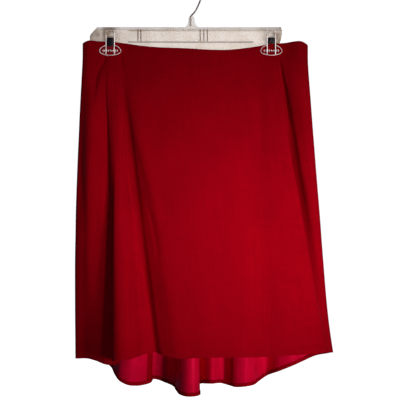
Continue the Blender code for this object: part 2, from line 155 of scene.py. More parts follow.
class ShaderKit(NodeKit):
    """Nodes of one material, around a Principled shader."""

    def __init__(self, name: str) -> None:
        """Make the material and its empty tree.

        Args:
            name: name of the material.
        """
        self.material = bpy.data.materials.new(name)
        self.material.use_nodes = True
        super().__init__(self.material.node_tree)

    def signal(self, kind: str, output: object = 0, settings: dict | None = None,
               sockets: dict | None = None) -> Signal:
        """One output of a new node, as a signal."""
        return Signal(self, self.node(kind, settings, sockets).outputs[output])

    def mapped(self, source: str, scale: Sequence[float]) -> bpy.types.NodeSocket:
        """Texture coordinates of one kind, stretched.

        Args:
            source: UV or Object.
            scale: factor along each axis.

        Returns:
            The vector socket.
        """
        place = self.node("ShaderNodeTexCoord").outputs[source]
        return self.node("ShaderNodeMapping", None,
                         {"Vector": place, "Scale": tuple(scale)}).outputs[0]

    def noise(self, vector: bpy.types.NodeSocket, scale: float, detail: float = 2.0) -> Signal:
        """Smooth noise from 0 to 1."""
        return self.signal("ShaderNodeTexNoise", 0, None,
                           {"Vector": vector, "Scale": scale, "Detail": detail})

    def grain(self, layer: "Grain") -> Signal:
        """The noise of one layer of a cloth's grain, from 0 to 1."""
        return self.noise(self.mapped("UV", (*layer.stretch, 1.0)), layer.scale, layer.detail)

    def wave(self, vector: bpy.types.NodeSocket, scale: float, axis: str,
             distortion: float = 0.0) -> Signal:
        """Parallel ribs from 0 to 1."""
        settings = {"wave_type": "BANDS", "bands_direction": axis, "wave_profile": "SIN"}
        return self.signal("ShaderNodeTexWave", 1, settings,
                           {"Vector": vector, "Scale": scale, "Distortion": distortion})

    def blend(self, factor: object, first: object, second: object) -> bpy.types.NodeSocket:
        """Mix two colours."""
        return self.node("ShaderNodeMix", {"data_type": "RGBA"},
                         {0: factor, 6: opaque(first), 7: opaque(second)}).outputs[2]

    def bump(self, height: Signal, distance: float, strength: float) -> bpy.types.NodeSocket:
        """A normal bent by a height."""
        return self.node("ShaderNodeBump", None, {"Height": height, "Distance": distance,
                                                  "Strength": strength}).outputs[0]

    def finish(self, **sockets: object) -> bpy.types.Material:
        """Add the Principled shader and the output.

        Args:
            sockets: values for the shader, with _ for the spaces in their names.

        Returns:
            The finished material.
        """
        named = {name.replace("_", " "): opaque(value) for name, value in sockets.items()}
        shader = self.node("ShaderNodeBsdfPrincipled", None, named)
        self.node("ShaderNodeOutputMaterial", None, {"Surface": shader.outputs[0]})
        return self.material


# ---------------------------------------------------------------- finishes
class Grain(NamedTuple):
    """A layer of noise on cloth.

    stretch is the factor on the distances across and down the cloth, scale and detail are the
    noise's own, and share is the layer's part in the colour or in the height.
    """

    stretch: tuple[float, float]
    scale: float
    detail: float
    share: float


@dataclass(frozen=True)
class CrepeFinish:
    """The matte outside of the cloth, with its pebbled grain."""

    name: str
    colour: Colour = (0.385, 0.0003, 0.0068)
    shade: Colour = (0.28, 0.0002, 0.005)
    pebble: Grain = Grain((1.0, 1.0), 2100.0, 1.0, 0.2)
    slub: Grain = Grain((0.3, 1.0), 160.0, 2.0, 0.15)
    weft: Grain = Grain((0.1, 1.0), 420.0, 1.0, 0.2)
    streak: Grain = Grain((1.0, 0.06), 190.0, 2.0, 0.25)
    mottle: Grain = Grain((1.0, 1.0), 16.0, 3.0, 0.25)
    warp: Grain = Grain((1.0, 0.22), 1155.0, 1.0, 0.4)
    contrast: tuple[float, float] = (0.3, 0.7)
    roughness: float = 0.78
    roughness_spread: float = 0.12
    relief: float = 0.00025

    def material(self) -> bpy.types.Material:
        """Build the material.

        Returns:
            The finished material.
        """
        kit = ShaderKit(self.name)
        layers = (self.pebble, self.slub, self.weft, self.streak, self.mottle)
        grains = [kit.grain(layer) for layer in layers]
        tone = sum(grain.between(*self.contrast) * layer.share
                   for grain, layer in zip(grains, layers))
        pebble, slub = grains[:2]
        height = pebble * (1 - self.warp.share) + kit.grain(self.warp) * self.warp.share
        return kit.finish(Base_Color=kit.blend(tone, self.shade, self.colour),
                          Roughness=self.roughness + (slub - 0.5) * self.roughness_spread,
                          Normal=kit.bump(height, self.relief, 0.55),
                          Sheen_Weight=0.08, Sheen_Roughness=0.45, Sheen_Tint=(0.7, 0.003, 0.02),
                          Specular_IOR_Level=0.15, Specular_Tint=(1.0, 0.01, 0.05), IOR=1.2)


@dataclass(frozen=True)
class SatinFinish:
    """The glossy back of the cloth, with its fine lengthwise floats."""

    name: str
    colour: Colour = (0.78, 0.001, 0.034)
    shade: Colour = (0.58, 0.0008, 0.024)
    floats: Grain = Grain((1.0, 0.02), 1500.0, 2.0, 0.5)
    clouds: Grain = Grain((1.0, 1.0), 35.0, 2.0, 0.5)
    roughness: float = 0.3
    roughness_spread: float = 0.16
    relief: float = 0.00012

    def material(self) -> bpy.types.Material:
        """Build the material.

        Returns:
            The finished material.
        """
        kit = ShaderKit(self.name)
        floats, clouds = kit.grain(self.floats), kit.grain(self.clouds)
        tone = (floats.between(0.25, 0.75) * self.floats.share
                + clouds.between(0.3, 0.7) * self.clouds.share)
        return kit.finish(Base_Color=kit.blend(tone, self.shade, self.colour),
                          Roughness=self.roughness + (floats - 0.5) * self.roughness_spread,
                          Normal=kit.bump(floats, self.relief, 0.35),
                          Specular_IOR_Level=1.0, Specular_Tint=(1.0, 0.02, 0.1))


@dataclass(frozen=True)
class ThreadFinish:
    """Spun sewing thread."""

    name: str
    colour: Colour = (0.26, 0.001, 0.006)
    twist: float = 900.0
    # shade sets how dark the painted shade in the twist's grooves is.
    shade: float = 0.6

    def material(self) -> bpy.types.Material:
        """Build the material.

        Returns:
            The finished material.
        """
        kit = ShaderKit(self.name)
        ply = kit.wave(kit.mapped("Object", (1.0, 1.0, 1.0)), self.twist, "DIAGONAL", 1.0)
        # The twist's grooves, where the bump is low, are darker: painted shade between the plies.
        dark = tuple(self.shade * value for value in self.colour)
        return kit.finish(Base_Color=kit.blend(ply, dark, self.colour),
                          Roughness=0.55 + ply * 0.15, Normal=kit.bump(ply, 0.00005, 0.4))


class Mark(Enum):
    """What a face of the clear moulding is part of; with a higher value it is more opaque, edges get a
    painted highlight and ribs dark lines of painted shade.
    """

    FLAT = 0.0
    EDGE = 1.0
    LOWER_RIB = 1.5
    UPRIGHT_RIB = 2.0


@dataclass(frozen=True)
class ClearPlasticFinish:
    """Clear moulded plastic, which shows mainly at its edges and ribs.

    Edges are lighter and more opaque: a painted highlight. The ribs and a line just under the
    flange are darkened towards a brown line colour: painted shade. Both ends of the bar are darker
    and less clear. The shade line under the flange and the darker ends are at places on the bar,
    in metres from the middle of the hook: each pair says where a smooth change begins and where
    it is complete. The ribs' pair is such a pair of marks.
    """

    name: str
    colour: Colour = (0.74, 0.52, 0.31)
    # edge is the colour of a painted highlight on the edges and ribs.
    edge: Colour = (0.84, 0.72, 0.6)
    # line is a dark colour: painted shade on the ribs and just under the flange, and the colour of the
    # darker ends.
    line: Colour = (0.26, 0.14, 0.055)
    face_alpha: float = 0.4
    edge_alpha: float = 0.42
    cloudy: float = 0.3
    darker_ends: float = 0.8
    ends_squared: tuple[float, float] = (0.015, 0.023)
    flange_shade_low_z: tuple[float, float] = (-0.0928, -0.0916)
    flange_shade_high_z: tuple[float, float] = (-0.0908, -0.0898)
    flange_shade_left_x: tuple[float, float] = (-0.118, -0.114)
    rib_shade_marks: tuple[float, float] = (1.3, 1.7)

    def material(self) -> bpy.types.Material:
        """Build the material.

        Returns:
            The finished material.
        """
        kit = ShaderKit(self.name)
        place = kit.mapped("Object", (1.0, 1.0, 1.0))
        rim = kit.signal("ShaderNodeAttribute", 2, {"attribute_name": "rim"})
        flow = kit.noise(kit.mapped("Object", (6.0, 6.0, 60.0)), 5.0, 2.0)
        cloud = kit.noise(place, 40.0, 3.0)
        scratch = kit.noise(kit.mapped("Object", (900.0, 900.0, 60.0)), 1.0, 2.0)
        # The rim attribute lightens edges and ribs towards edge, a painted highlight; flow varies the
        # tone at random.
        tone = rim * 0.75 + (flow - 0.5) * 0.5
        axes = kit.node("ShaderNodeSeparateXYZ", None, {0: place}).outputs
        across, height = Signal(kit, axes[0]), Signal(kit, axes[2])
        # end makes both ends of the bar darker and less clear.
        end = (across * across).between(*self.ends_squared) * cloud.between(0.25, 0.6)
        # under picks a painted shade line just below the flange; it and the ribs' marks darken the colour
        # towards line.
        under = height.between(*self.flange_shade_low_z) * (1.0 - height.between(*self.flange_shade_high_z))
        shade_lines_and_darker_ends = rim.between(*self.rib_shade_marks) + under * across.between(*self.flange_shade_left_x) * 0.7
        shade_lines_and_darker_ends = shade_lines_and_darker_ends + end * self.darker_ends
        clear = kit.blend(tone.between(0.0, 1.0), self.colour, self.edge)
        alpha = (self.face_alpha + rim.between(0.0, 1.0) * (self.edge_alpha - self.face_alpha)
                 + (cloud - 0.5) * self.cloudy + shade_lines_and_darker_ends * 0.4)
        return kit.finish(Base_Color=kit.blend(shade_lines_and_darker_ends, clear, self.line),
                          Roughness=0.2 + scratch.between(0.55, 0.8) * 0.15,
                          Alpha=alpha, Normal=kit.bump(flow, 0.001, 0.12),
                          Specular_IOR_Level=0.6, Coat_Weight=0.2, Coat_Roughness=0.15)


@dataclass(frozen=True)
class SteelFinish:
    """Worn steel, with fine drawing lines along one axis."""

    name: str
    colour: Colour = (0.06, 0.055, 0.055)
    worn: Colour = (0.2, 0.17, 0.15)
    roughness: float = 0.38
    lines: tuple[float, float, float] = (1400.0, 200.0, 60.0)

    def material(self) -> bpy.types.Material:
        """Build the material.

        Returns:
            The finished material.
        """
        kit = ShaderKit(self.name)
        line = kit.noise(kit.mapped("Object", self.lines), 1.0, 3.0)
        wear = kit.noise(kit.mapped("Object", (1.0, 1.0, 1.0)), 180.0, 3.0).between(0.45, 0.75)
        return kit.finish(Base_Color=kit.blend(wear, self.colour, self.worn), Metallic=0.85,
                          Roughness=self.roughness + (line - 0.5) * 0.3,
                          Normal=kit.bump(line, 0.00005, 0.3))


@dataclass(frozen=True)
class BackdropFinish:
    """Plain white studio paper, lit evenly."""

    name: str
    colour: Colour = (0.9, 0.9, 0.9)
    glow: float = 1.0

    def material(self) -> bpy.types.Material:
        """Build the material.

        Returns:
            The finished material.
        """
        kit = ShaderKit(self.name)
        fibre = kit.noise(kit.mapped("Object", (1.0, 1.0, 1.0)), 60.0, 3.0)
        return kit.finish(Base_Color=self.colour, Roughness=0.9 + (fibre - 0.5) * 0.1,
                          Emission_Color=(1.0, 1.0, 1.0), Emission_Strength=self.glow)


# ---------------------------------------------------------------- the skirt's form
class Waist(NamedTuple):
    """A place on the waist edge, in mm; y is from the plane of the clips."""

    name: str
    x: float
    y: float
    z: float


class Line(NamedTuple):
    """A line of the cloth from the waist to the hem, in mm.

    waist is how far round the waist it starts, x, y and z are its end at the hem, and belly
    is how far it stands out of the straight half-way.
    """

    name: str
    waist: float
    x: float
    y: float
    z: float
    belly: float


class Crease(NamedTuple):
    """A trough of the cloth, or a ridge where its depth is negative.

    path holds (mm round the hem, share of the drop); left and right are the half-widths and
    depth the greatest depth, in mm; rise and fade are the shares of its length over which it
    starts and ends, opening is how many times wider it has grown at its end, and shape is 2
    for a soft floor and nearer to 1 for a sharp one.
    """

    name: str
    path: tuple[tuple[float, float], ...]
    depth: float
    left: float
    right: float
    rise: float = 0.25
    fade: float = 0.25
    opening: float = 1.0
    shape: float = 2.0


WAIST = (
    Waist("left side seam", -199, -4, -117.0),
    Waist("left front curl", -189, -11, -113.6),
    Waist("left of left clip", -170, -2.2, -112.4),
    Waist("under left clip", -148, -2.2, -113.4),
    Waist("right of left clip", -127, -2.2, -115.6),
    Waist("front sag, left", -84, -7, -122.6),
    Waist("front sag, middle", -10, -11, -127.4),
    Waist("front sag, right", 70, -8.5, -129.4),
    Waist("left of right clip", 127, -2.2, -121.0),
    Waist("under right clip", 148, -2.2, -117.4),
    Waist("right of right clip", 170, -2.2, -115.8),
    Waist("right front curl", 205, -9, -114.6),
    Waist("right side seam", 216, 1, -119.0),
    Waist("right back curl", 205, 11, -117.0),
    Waist("back, right of right clip", 170, 2.2, -117.0),
    Waist("back, under right clip", 148, 2.2, -119.4),
    Waist("back, left of right clip", 127, 2.2, -123.0),
    Waist("back sag, right", 65, 2.7, -130.8),
    Waist("back sag, middle", 0, 2.8, -129.8),
    Waist("back sag, left", -65, 2.7, -126.2),
    Waist("back, right of left clip", -127, 2.2, -117.6),
    Waist("back, under left clip", -148, 2.2, -115.4),
    Waist("back, left of left clip", -170, 2.2, -114.4),
    Waist("left back curl", -186, 1.6, -114.6),
)

LINES = (
    Line("left side seam", 0, -225, 60, -711, 6),
    Line("left flank", 15, -205, 42, -706, 7),
    Line("left hollow, start", 27, -178, 18, -706, 6),
    Line("left hollow, floor", 36, -157, 2, -709, 4),
    Line("left hollow, back", 43, -140, -5, -708, 1),
    Line("left hollow, inner", 48, -130, -14, -703, 0),
    Line("ridge root", 52, -132, -29, -697, 0),
    Line("ridge edge", 55, -137, -43, -692, 1),
    Line("ridge front", 59, -126, -54, -688, 3),
    Line("ridge right", 64, -109, -54, -687, 3),
    Line("ridge flank", 69, -95, -40, -685, 0),
    Line("left valley, side", 73, -81, -22, -684, -3),
    Line("left valley, floor", 78, -65, -13, -683, -4),
    Line("left valley, out", 86, -44, -22, -686, -1),
    Line("apron, left", 104, -18, -38, -688, 4),
    Line("apron, left of middle", 140, 14, -46, -686, 6),
    Line("apron, middle", 212, 56, -49, -684, 6),
    Line("apron, right of middle", 268, 99, -49, -684, 6),
    Line("apron, soft trough", 318, 144, -41, -684, 3),
    Line("apron, right", 336, 170, -42, -682, 5),
    Line("apron, right turn", 350, 203, -38, -681, 5),
    Line("right crease, near side", 361, 243, -20, -682, 3),
    Line("right crease", 368, 256, -4, -685, -7),
    Line("right crease, far side", 374, 264, 10, -688, -1),
    Line("right side seam", 425, 262.5, 46, -697, 2),
    Line("right back turn", 443, 238, 58, -705, 4),
    Line("right back hollow", 456, 218, 62, -715, 6),
    Line("fifth lobe", 482, 193, 54, -724, 4),
    Line("right cave, near side", 500, 170, 60, -735, 5),
    Line("right cave", 520, 145, 86, -752, 8),
    Line("right cave, far side", 530, 131, 71, -757, 6),
    Line("fourth lobe, right", 538, 119, 53, -760, 3),
    Line("fourth lobe", 548, 102, 44, -761, 2),
    Line("fourth lobe, left", 560, 87, 48, -763, 3),
    Line("right back seam", 575, 74, 61, -763, 5),
    Line("right seam hollow", 589, 60, 68, -761, 6),
    Line("third lobe", 600, 38, 50, -757, 3),
    Line("narrow gap, near side", 609, 26, 62, -760, 4),
    Line("narrow gap", 617, 16, 82, -766, 8),
    Line("narrow gap, back", 624, 6, 87, -771, 9),
    Line("second lobe, root", 630, 2, 70, -772, 6),
    Line("second lobe, neck", 635, 10, 43, -771, 3),
    Line("second lobe, edge", 640, 16, 18, -769, 1),
    Line("second lobe, right", 644, 9, 5, -768, 0),
    Line("second lobe, crest", 648, -5, 2, -768, 0),
    Line("second lobe, left", 653, -19, 13, -768, 1),
    Line("second lobe, flank", 659, -28, 36, -766, 3),
    Line("middle cave, near side", 667, -35, 62, -765, 6),
    Line("middle cave", 680, -55, 87, -764, 9),
    Line("middle cave, far side", 688, -68, 79, -758, 7),
    Line("left back seam", 699, -81, 64, -759, 5),
    Line("first lobe, right", 715, -105, 36, -757, 2),
    Line("first lobe", 726, -120, 30, -754, 2),
    Line("first lobe, left", 737, -135, 34, -748, 3),
    Line("first lobe, edge", 750, -147, 50, -739, 5),
    Line("left back hollow, start", 768, -157, 70, -730, 7),
    Line("left back hollow", 792, -178, 87, -723, 9),
    Line("left back turn", 818, -206, 86, -717, 7),
)

CREASES = (
    Crease("apron turn, top", ((231, 0.03), (232, 0.06), (233, 0.124), (232, 0.19), (229, 0.25)),
           3.3, 1.8, 3.6, 0.12, 0.35, 1.5, 1.2),
    Crease("apron turn, middle", ((238, 0.12), (234, 0.217), (228, 0.283), (225, 0.38),
                                  (225, 0.477), (226, 0.62)), 7.2, 3.4, 11.0, 0.35, 0.35, 1.2, 1.2),
    Crease("apron turn, low", ((228, 0.38), (229, 0.5), (233, 0.64), (238, 0.737), (243, 0.833),
                               (246, 1.1)), 2.6, 3.5, 8.0, 0.4, 0.1, 1.0, 1.2),
    Crease("apron turn, filled out", ((250, 0.08), (253, 0.2), (256, 0.32), (257, 0.45), (257, 0.6),
                                      (263, 0.75), (268, 1.25)), -7.2, 19.0, 38.0, 0.12, 0.1),
    Crease("apron turn, its edge", ((262, 0.2), (270, 0.253), (276, 0.313), (285, 0.377),
                                    (292, 0.44), (296, 0.503), (296, 0.62)), -1.3, 6.0, 12.0, 0.3, 0.5),
    Crease("short crease", ((278, 0.5), (284, 0.57), (286, 0.66), (282, 0.74)), 1.4, 3.0, 7.0, 0.3, 0.4),
    Crease("hip curve", ((122, 0.04), (106, 0.067), (84, 0.09), (72, 0.107), (60, 0.135),
                         (53, 0.183), (50, 0.23)), 3.6, 6.0, 3.0, 0.1, 0.6),
    Crease("left hollow, deeper", ((92, 0.3), (92, 0.6), (94, 0.97)), 2.5, 26.0, 24.0, 0.4, 0.2),
    Crease("crevice", ((168, 0.3), (162, 0.4), (157, 0.533), (153, 0.673), (149, 0.84),
                       (148, 0.97)), 2.4, 8.0, 3.0, 0.35, 0.15),
    Crease("crevice, filled out", ((120, 0.2), (112, 0.45), (106, 0.75), (104, 1.0)), -2.2, 12.0, 14.0,
           0.4, 0.2),
    Crease("right crease, top", ((584, 0.035), (588, 0.103), (592, 0.2), (591, 0.28)),
           3.8, 1.8, 4.0, 0.25, 0.4, 1.3, 1.2),
    Crease("right crease, upper", ((590, 0.09), (594, 0.15), (594, 0.2), (591, 0.3)),
           4.5, 2.0, 4.5, 0.35, 0.35, 1.0, 1.2),
    Crease("right crease", ((592, 0.13), (591, 0.2), (588, 0.28), (583, 0.343), (581, 0.41),
                            (588, 0.49), (590, 0.57), (590, 0.653), (589, 0.98)),
           21.5, 3.6, 11.0, 0.37, 0.3, 1.0, 1.3),
    Crease("right strip, filled out", ((608, 0.02), (611, 0.12), (614, 0.26)), -3.0, 8.0, 14.0, 0.2, 0.4),
    Crease("right trough, near", ((483, 0.09), (476, 0.247), (472, 0.4)), 1.6, 9.0, 12.0, 0.4, 0.6),
    Crease("right trough, far", ((536, 0.11), (516, 0.25), (508, 0.37)), 1.6, 8.0, 12.0, 0.4, 0.6),
    Crease("right ray", ((560, 0.06), (552, 0.14), (545, 0.24)), 1.7, 4.0, 8.0, 0.3, 0.5),
    Crease("left flank band", ((15, 0.15), (15, 0.3), (16, 0.62)), 2.0, 6.5, 15.0, 0.4, 0.4),
    Crease("left flank, filled out", ((140, 0.05), (124, 0.08), (106, 0.11), (86, 0.14), (64, 0.19),
                                      (52, 0.25), (49, 0.35), (52, 0.62)),
           -9.5, 17.0, 30.0, 0.14, 0.45),
    Crease("ridge strip, filled out", ((196, 0.12), (202, 0.18), (208, 0.25), (208, 0.32), (206, 0.45)),
           -2.4, 14.0, 6.0, 0.3, 0.5),
    Crease("left flank fold", ((50, 0.4), (46, 0.6), (42, 0.84)), -1.6, 9.0, 12.0, 0.4, 0.4),
    Crease("apron swell, upper", ((440, 0.08), (450, 0.2), (456, 0.36)), -4.0, 30.0, 16.0, 0.35, 0.4),
    Crease("apron swell, left", ((345, 0.12), (352, 0.4), (356, 0.8)), -1.2, 30.0, 36.0, 0.4, 0.5),
    Crease("apron swell, right", ((430, 0.2), (425, 0.5), (420, 0.85)), -0.6, 26.0, 30.0, 0.4, 0.4),
    Crease("apron, filled out", ((464, 0.2), (464, 0.6), (464, 1.3)), -2.4, 26.0, 20.0, 0.3, 0.1),
    Crease("right flank", ((668, 0.05), (672, 0.2), (676, 0.42)), 2.6, 7.0, 10.0, 0.3, 0.5),
    Crease("fifth lobe fold", ((712, 0.12), (716, 0.3), (722, 0.6)), 3.0, 8.0, 9.0, 0.3, 0.5),
    Crease("back under right clip", ((790, 0.04), (796, 0.12), (806, 0.24)), 3.0, 3.0, 8.0, 0.3, 0.5),
    Crease("back, right branch", ((808, 0.2), (818, 0.36), (822, 0.6)), 2.8, 6.0, 9.0, 0.3, 0.5),
    Crease("fourth lobe fold", ((858, 0.1), (852, 0.26), (846, 0.5)), 2.4, 8.0, 8.0, 0.4, 0.5),
    Crease("third lobe fold", ((918, 0.14), (926, 0.36), (930, 0.66)), 2.6, 7.0, 10.0, 0.4, 0.5),
    Crease("second lobe fold", ((1016, 0.12), (1022, 0.3), (1030, 0.56)), 2.6, 8.0, 7.0, 0.4, 0.5),
    Crease("second lobe, far fold", ((1078, 0.1), (1084, 0.28), (1088, 0.5)), 2.2, 7.0, 9.0, 0.4, 0.5),
    Crease("middle cave, deeper", ((1182, 0.72), (1184, 1.4)), -9.0, 12.0, 10.0, 0.3, 0.1),
    Crease("middle cave fold", ((1150, 0.16), (1156, 0.4), (1160, 0.72)), 2.6, 9.0, 8.0, 0.4, 0.5),
    Crease("first lobe fold", ((1242, 0.1), (1250, 0.3), (1256, 0.58)), 2.6, 8.0, 9.0, 0.4, 0.5),
    Crease("back under left clip", ((1268, 0.04), (1262, 0.1), (1250, 0.2)), 3.0, 8.0, 3.0, 0.3, 0.5),
    Crease("back hollow line", ((1300, 0.06), (1310, 0.2), (1316, 0.44)), 3.0, 7.0, 8.0, 0.3, 0.5),
    Crease("left back flank", ((1362, 0.06), (1368, 0.22), (1372, 0.5)), 2.4, 8.0, 9.0, 0.3, 0.5),
)


def closed_curve(knots: Array, values: Sequence[float], turn: float, rise: float, places: Array,
                 steady: bool = False) -> Array:
    """Read a smooth closed curve.

    Args:
        knots: places of the values along the curve.
        values: one value for each knot.
        turn: length of the curve once round.
        rise: what the value gains with each turn.
        places: where to read it.
        steady: keep it from turning back between knots.

    Returns:
        The values at those places.
    """
    values = np.asarray(values, dtype=float)
    spans = np.diff(np.append(knots, turn))
    following = np.roll(values, -1)
    following[-1] += rise
    after = (following - values) / spans
    before = np.roll(after, 1)
    spans_before = np.roll(spans, 1)
    if steady:
        tangents = 2.0 * before * after / (before + after)
    else:
        tangents = (before * spans + after * spans_before) / (spans + spans_before)
    laps = np.floor_divide(places, turn)
    inside = places - laps * turn
    index = np.clip(np.searchsorted(knots, inside, side="right") - 1, 0, len(knots) - 1)
    width = spans[index]
    t = (inside - knots[index]) / width
    start = values[index] * (1 + 2 * t) * (1 - t) ** 2
    end = following[index] * t * t * (3 - 2 * t)
    lead = np.roll(tangents, -1)[index] * width * t * t * (t - 1)
    leave = tangents[index] * width * t * (1 - t) ** 2
    return start + end + leave + lead + laps * rise


def smooth_step(low: float, high: float, value: Array) -> Array:
    """Smooth rise from 0 at low to 1 at high."""
    t = np.clip((value - low) / (high - low), 0.0, 1.0)
    return t * t * (3 - 2 * t)


def unit(vectors: Array) -> Array:
    """Vectors at length one."""
    return vectors / np.linalg.norm(vectors, axis=-1, keepdims=True)


class Sway(NamedTuple):
    """A gentle relief of slack cloth: the product of two slanting waves.

    reach holds the mm round the hem for one radian of each wave, slant its radians down the
    whole drop, start is the first one's phase, and share the relief's part of the slack.
    """

    reach: tuple[float, float]
    slant: tuple[float, float]
    start: float
    share: float

    def height(self, around: Array, drop: Array) -> Array:
        """Height at places round the hem and down the drop, before the slack's own."""
        first, second = (around / reach + slant * drop
                         for reach, slant in zip(self.reach, self.slant))
        return self.share * (np.sin(first + self.start) * np.cos(second))


@dataclass
class SkirtForm:
    """The skirt's outer face, as a surface over mm round the hem and a share of the drop."""

    clipped_part: float = 0.045
    softness: float = 0.05
    slack: float = 0.35
    slack_free: tuple[float, float] = (0.05, 0.2)
    sways: tuple[Sway, ...] = (Sway((31.0, 47.0), (3.1, -8.3), 0.0, 1.0),
                               Sway((13.0, 19.0), (-11.0, 17.0), 1.3, 0.45))
    crease_reach: float = 16.0
    face_reach: float = 0.6
    drop_step: float = 0.003
    waist_at: Array = field(init=False)
    waist_round: float = field(init=False)
    lines_at: Array = field(init=False)
    hem_round: float = field(init=False)

    def __post_init__(self) -> None:
        """Measure both tables round in plan."""
        self.waist_at, self.waist_round = self.lengths_round(WAIST)
        self.lines_at, self.hem_round = self.lengths_round(LINES)

    @staticmethod
    def lengths_round(rows: Sequence[Waist | Line]) -> tuple[Array, float]:
        """Measure a table round in plan.

        Args:
            rows: the places in order.

        Returns:
            Distance of each place from the first, and once all the way round, in mm.
        """
        plan = np.array([(row.x, row.y) for row in rows], dtype=float)
        steps = np.linalg.norm(np.roll(plan, -1, axis=0) - plan, axis=1)
        return np.concatenate(([0.0], np.cumsum(steps)[:-1])), float(steps.sum())

    def place(self, name: str) -> float:
        """Distance along the hem at which the named line ends."""
        return float(self.lines_at[[line.name for line in LINES].index(name)])

    def started(self, around: Array) -> Array:
        """Place round the waist where the line that ends at this place starts."""
        return closed_curve(self.lines_at, [line.waist for line in LINES], self.hem_round,
                            self.waist_round, around, steady=True)

    def waist_value(self, axis: str, around: Array) -> Array:
        """One coordinate of the waist edge above a place round the hem."""
        values = [getattr(row, axis) for row in WAIST]
        return closed_curve(self.waist_at, values, self.waist_round, 0.0, self.started(around))

    def hem_value(self, name: str, around: Array) -> Array:
        """One value of the table of lines, read smoothly."""
        values = [getattr(line, name) for line in LINES]
        return closed_curve(self.lines_at, values, self.hem_round, 0.0, around)

    def below(self, drop: Array) -> Array:
        """Share of the way from the clipped part to the hem."""
        return np.clip((drop - self.clipped_part) / (1 - self.clipped_part), 0, 1)

    def spread(self, drop: Array) -> Array:
        """How far the folds have opened at each drop."""
        below = self.below(drop)
        return below ** 2 * (1 + self.softness) / (below + self.softness)

    def straight(self, around: Array, spread: Array) -> Array:
        """Plan position on the straight way from the waist edge to the hem."""
        return np.stack([self.waist_value(axis, around) * (1 - spread)
                         + self.hem_value(axis, around) * spread for axis in ("x", "y")], axis=-1)

    def plain(self, around: Array, drop: Array) -> Array:
        """The surface without its creases.

        Args:
            around: places in mm round the hem.
            drop: shares of the drop.

        Returns:
            Points in mm.
        """
        spread = self.spread(drop)
        along = self.straight(around + 0.5, spread) - self.straight(around - 0.5, spread)
        outward = unit(np.stack([along[..., 1], -along[..., 0]], axis=-1))
        bulge = self.hem_value("belly", around) * np.sin(math.pi * self.below(drop))
        plan = self.straight(around, spread) + outward * bulge[..., None]
        height = self.waist_value("z", around) * (1 - drop) + self.hem_value("z", around) * drop
        return np.stack([plan[..., 0], plan[..., 1] + CLIP_PLANE_Y, height], axis=-1)

    def relief(self, around: Array, drop: Array) -> Array:
        """Height of the creases and of the cloth's slack over the plain surface.

        Args:
            around: places in mm round the hem.
            drop: shares of the drop.

        Returns:
            Heights in mm.
        """
        spread = self.spread(drop)
        rate = (self.started(around + 1) - self.started(around - 1)) / 2
        width = rate * (1 - spread) + spread
        total = np.zeros(np.broadcast(around, drop).shape)
        for crease in CREASES:
            total -= self.trough(crease, around, drop, width)
        free = smooth_step(*self.slack_free, drop)
        return total + free * self.slack * sum(sway.height(around, drop) for sway in self.sways)

    def trough(self, crease: Crease, around: Array, drop: Array, width: Array) -> Array:
        """How far one crease reaches in.

        Args:
            crease: the crease.
            around: places in mm round the hem.
            drop: shares of the drop.
            width: real mm for each mm round the hem.

        Returns:
            Depths in mm.
        """
        places, levels = (np.array(part, dtype=float) for part in zip(*crease.path))
        middle = np.interp(drop, levels, places)
        away = around - middle
        away = (away - self.hem_round * np.round(away / self.hem_round)) * width
        share = (drop - levels[0]) / (levels[-1] - levels[0])
        grown = 1 + (crease.opening - 1) * np.clip(share, 0, 1)
        side = np.where(away < 0, crease.left, crease.right) * grown
        taper = smooth_step(0.0, crease.rise, share) * smooth_step(0.0, crease.fade, 1 - share)
        return crease.depth * taper * np.exp(-np.abs(away / side) ** crease.shape)

    def points(self, around: Array, drop: Array) -> Array:
        """The cloth's outer face with its creases.

        The creases move it along a direction that turns slowly, so a corner can't cross itself.

        Args:
            around: places in mm round the hem.
            drop: shares of the drop.

        Returns:
            Points in mm.
        """
        across, down = self.ways(self.plain, around, drop, self.crease_reach)
        outward = unit(np.cross(down, across))
        return self.plain(around, drop) + outward * self.relief(around, drop)[..., None]

    def ways(self, surface: Callable[[Array, Array], Array], around: Array, drop: Array,
             reach: float) -> tuple[Array, Array]:
        """Steps across and down a surface.

        Args:
            surface: gives points for places and drops.
            around: places in mm round the hem.
            drop: shares of the drop.
            reach: how far to each side the step across goes, in mm round the hem.

        Returns:
            The steps across and down, in mm.
        """
        upper, lower = (np.clip(drop + step, 0, 1) for step in (-self.drop_step, self.drop_step))
        across = surface(around + reach, drop) - surface(around - reach, drop)
        return across, surface(around, lower) - surface(around, upper)

    def frames(self, around: Array, drop: Array) -> tuple[Array, Array, Array, Array]:
        """Points of the outer face with their directions.

        Args:
            around: places in mm round the hem.
            drop: shares of the drop.

        Returns:
            The points, and unit vectors across, down and outward.
        """
        across, down = self.ways(self.points, around, drop, self.face_reach)
        across = unit(across)
        outward = unit(np.cross(down, across))
        down = unit(np.cross(across, outward))
        return self.points(around, drop), across, down, outward


# ---------------------------------------------------------------- cut and sewn cloth
class Panel(NamedTuple):
    """A cut panel between two lines; width, length and area are its flat cut, in metres."""

    node: str
    first: str
    last: str
    width: float
    length: float
    area: float


PANELS = (
    Panel("front_panel", "left side seam", "right side seam", 0.67, 0.63, 0.337),
    Panel("back_right_gore", "right side seam", "right back seam", 0.30, 0.69, 0.135),
    Panel("back_centre_gore", "right back seam", "left back seam", 0.38, 0.69, 0.164),
    Panel("back_left_gore", "left back seam", "left side seam", 0.28, 0.69, 0.125),
)


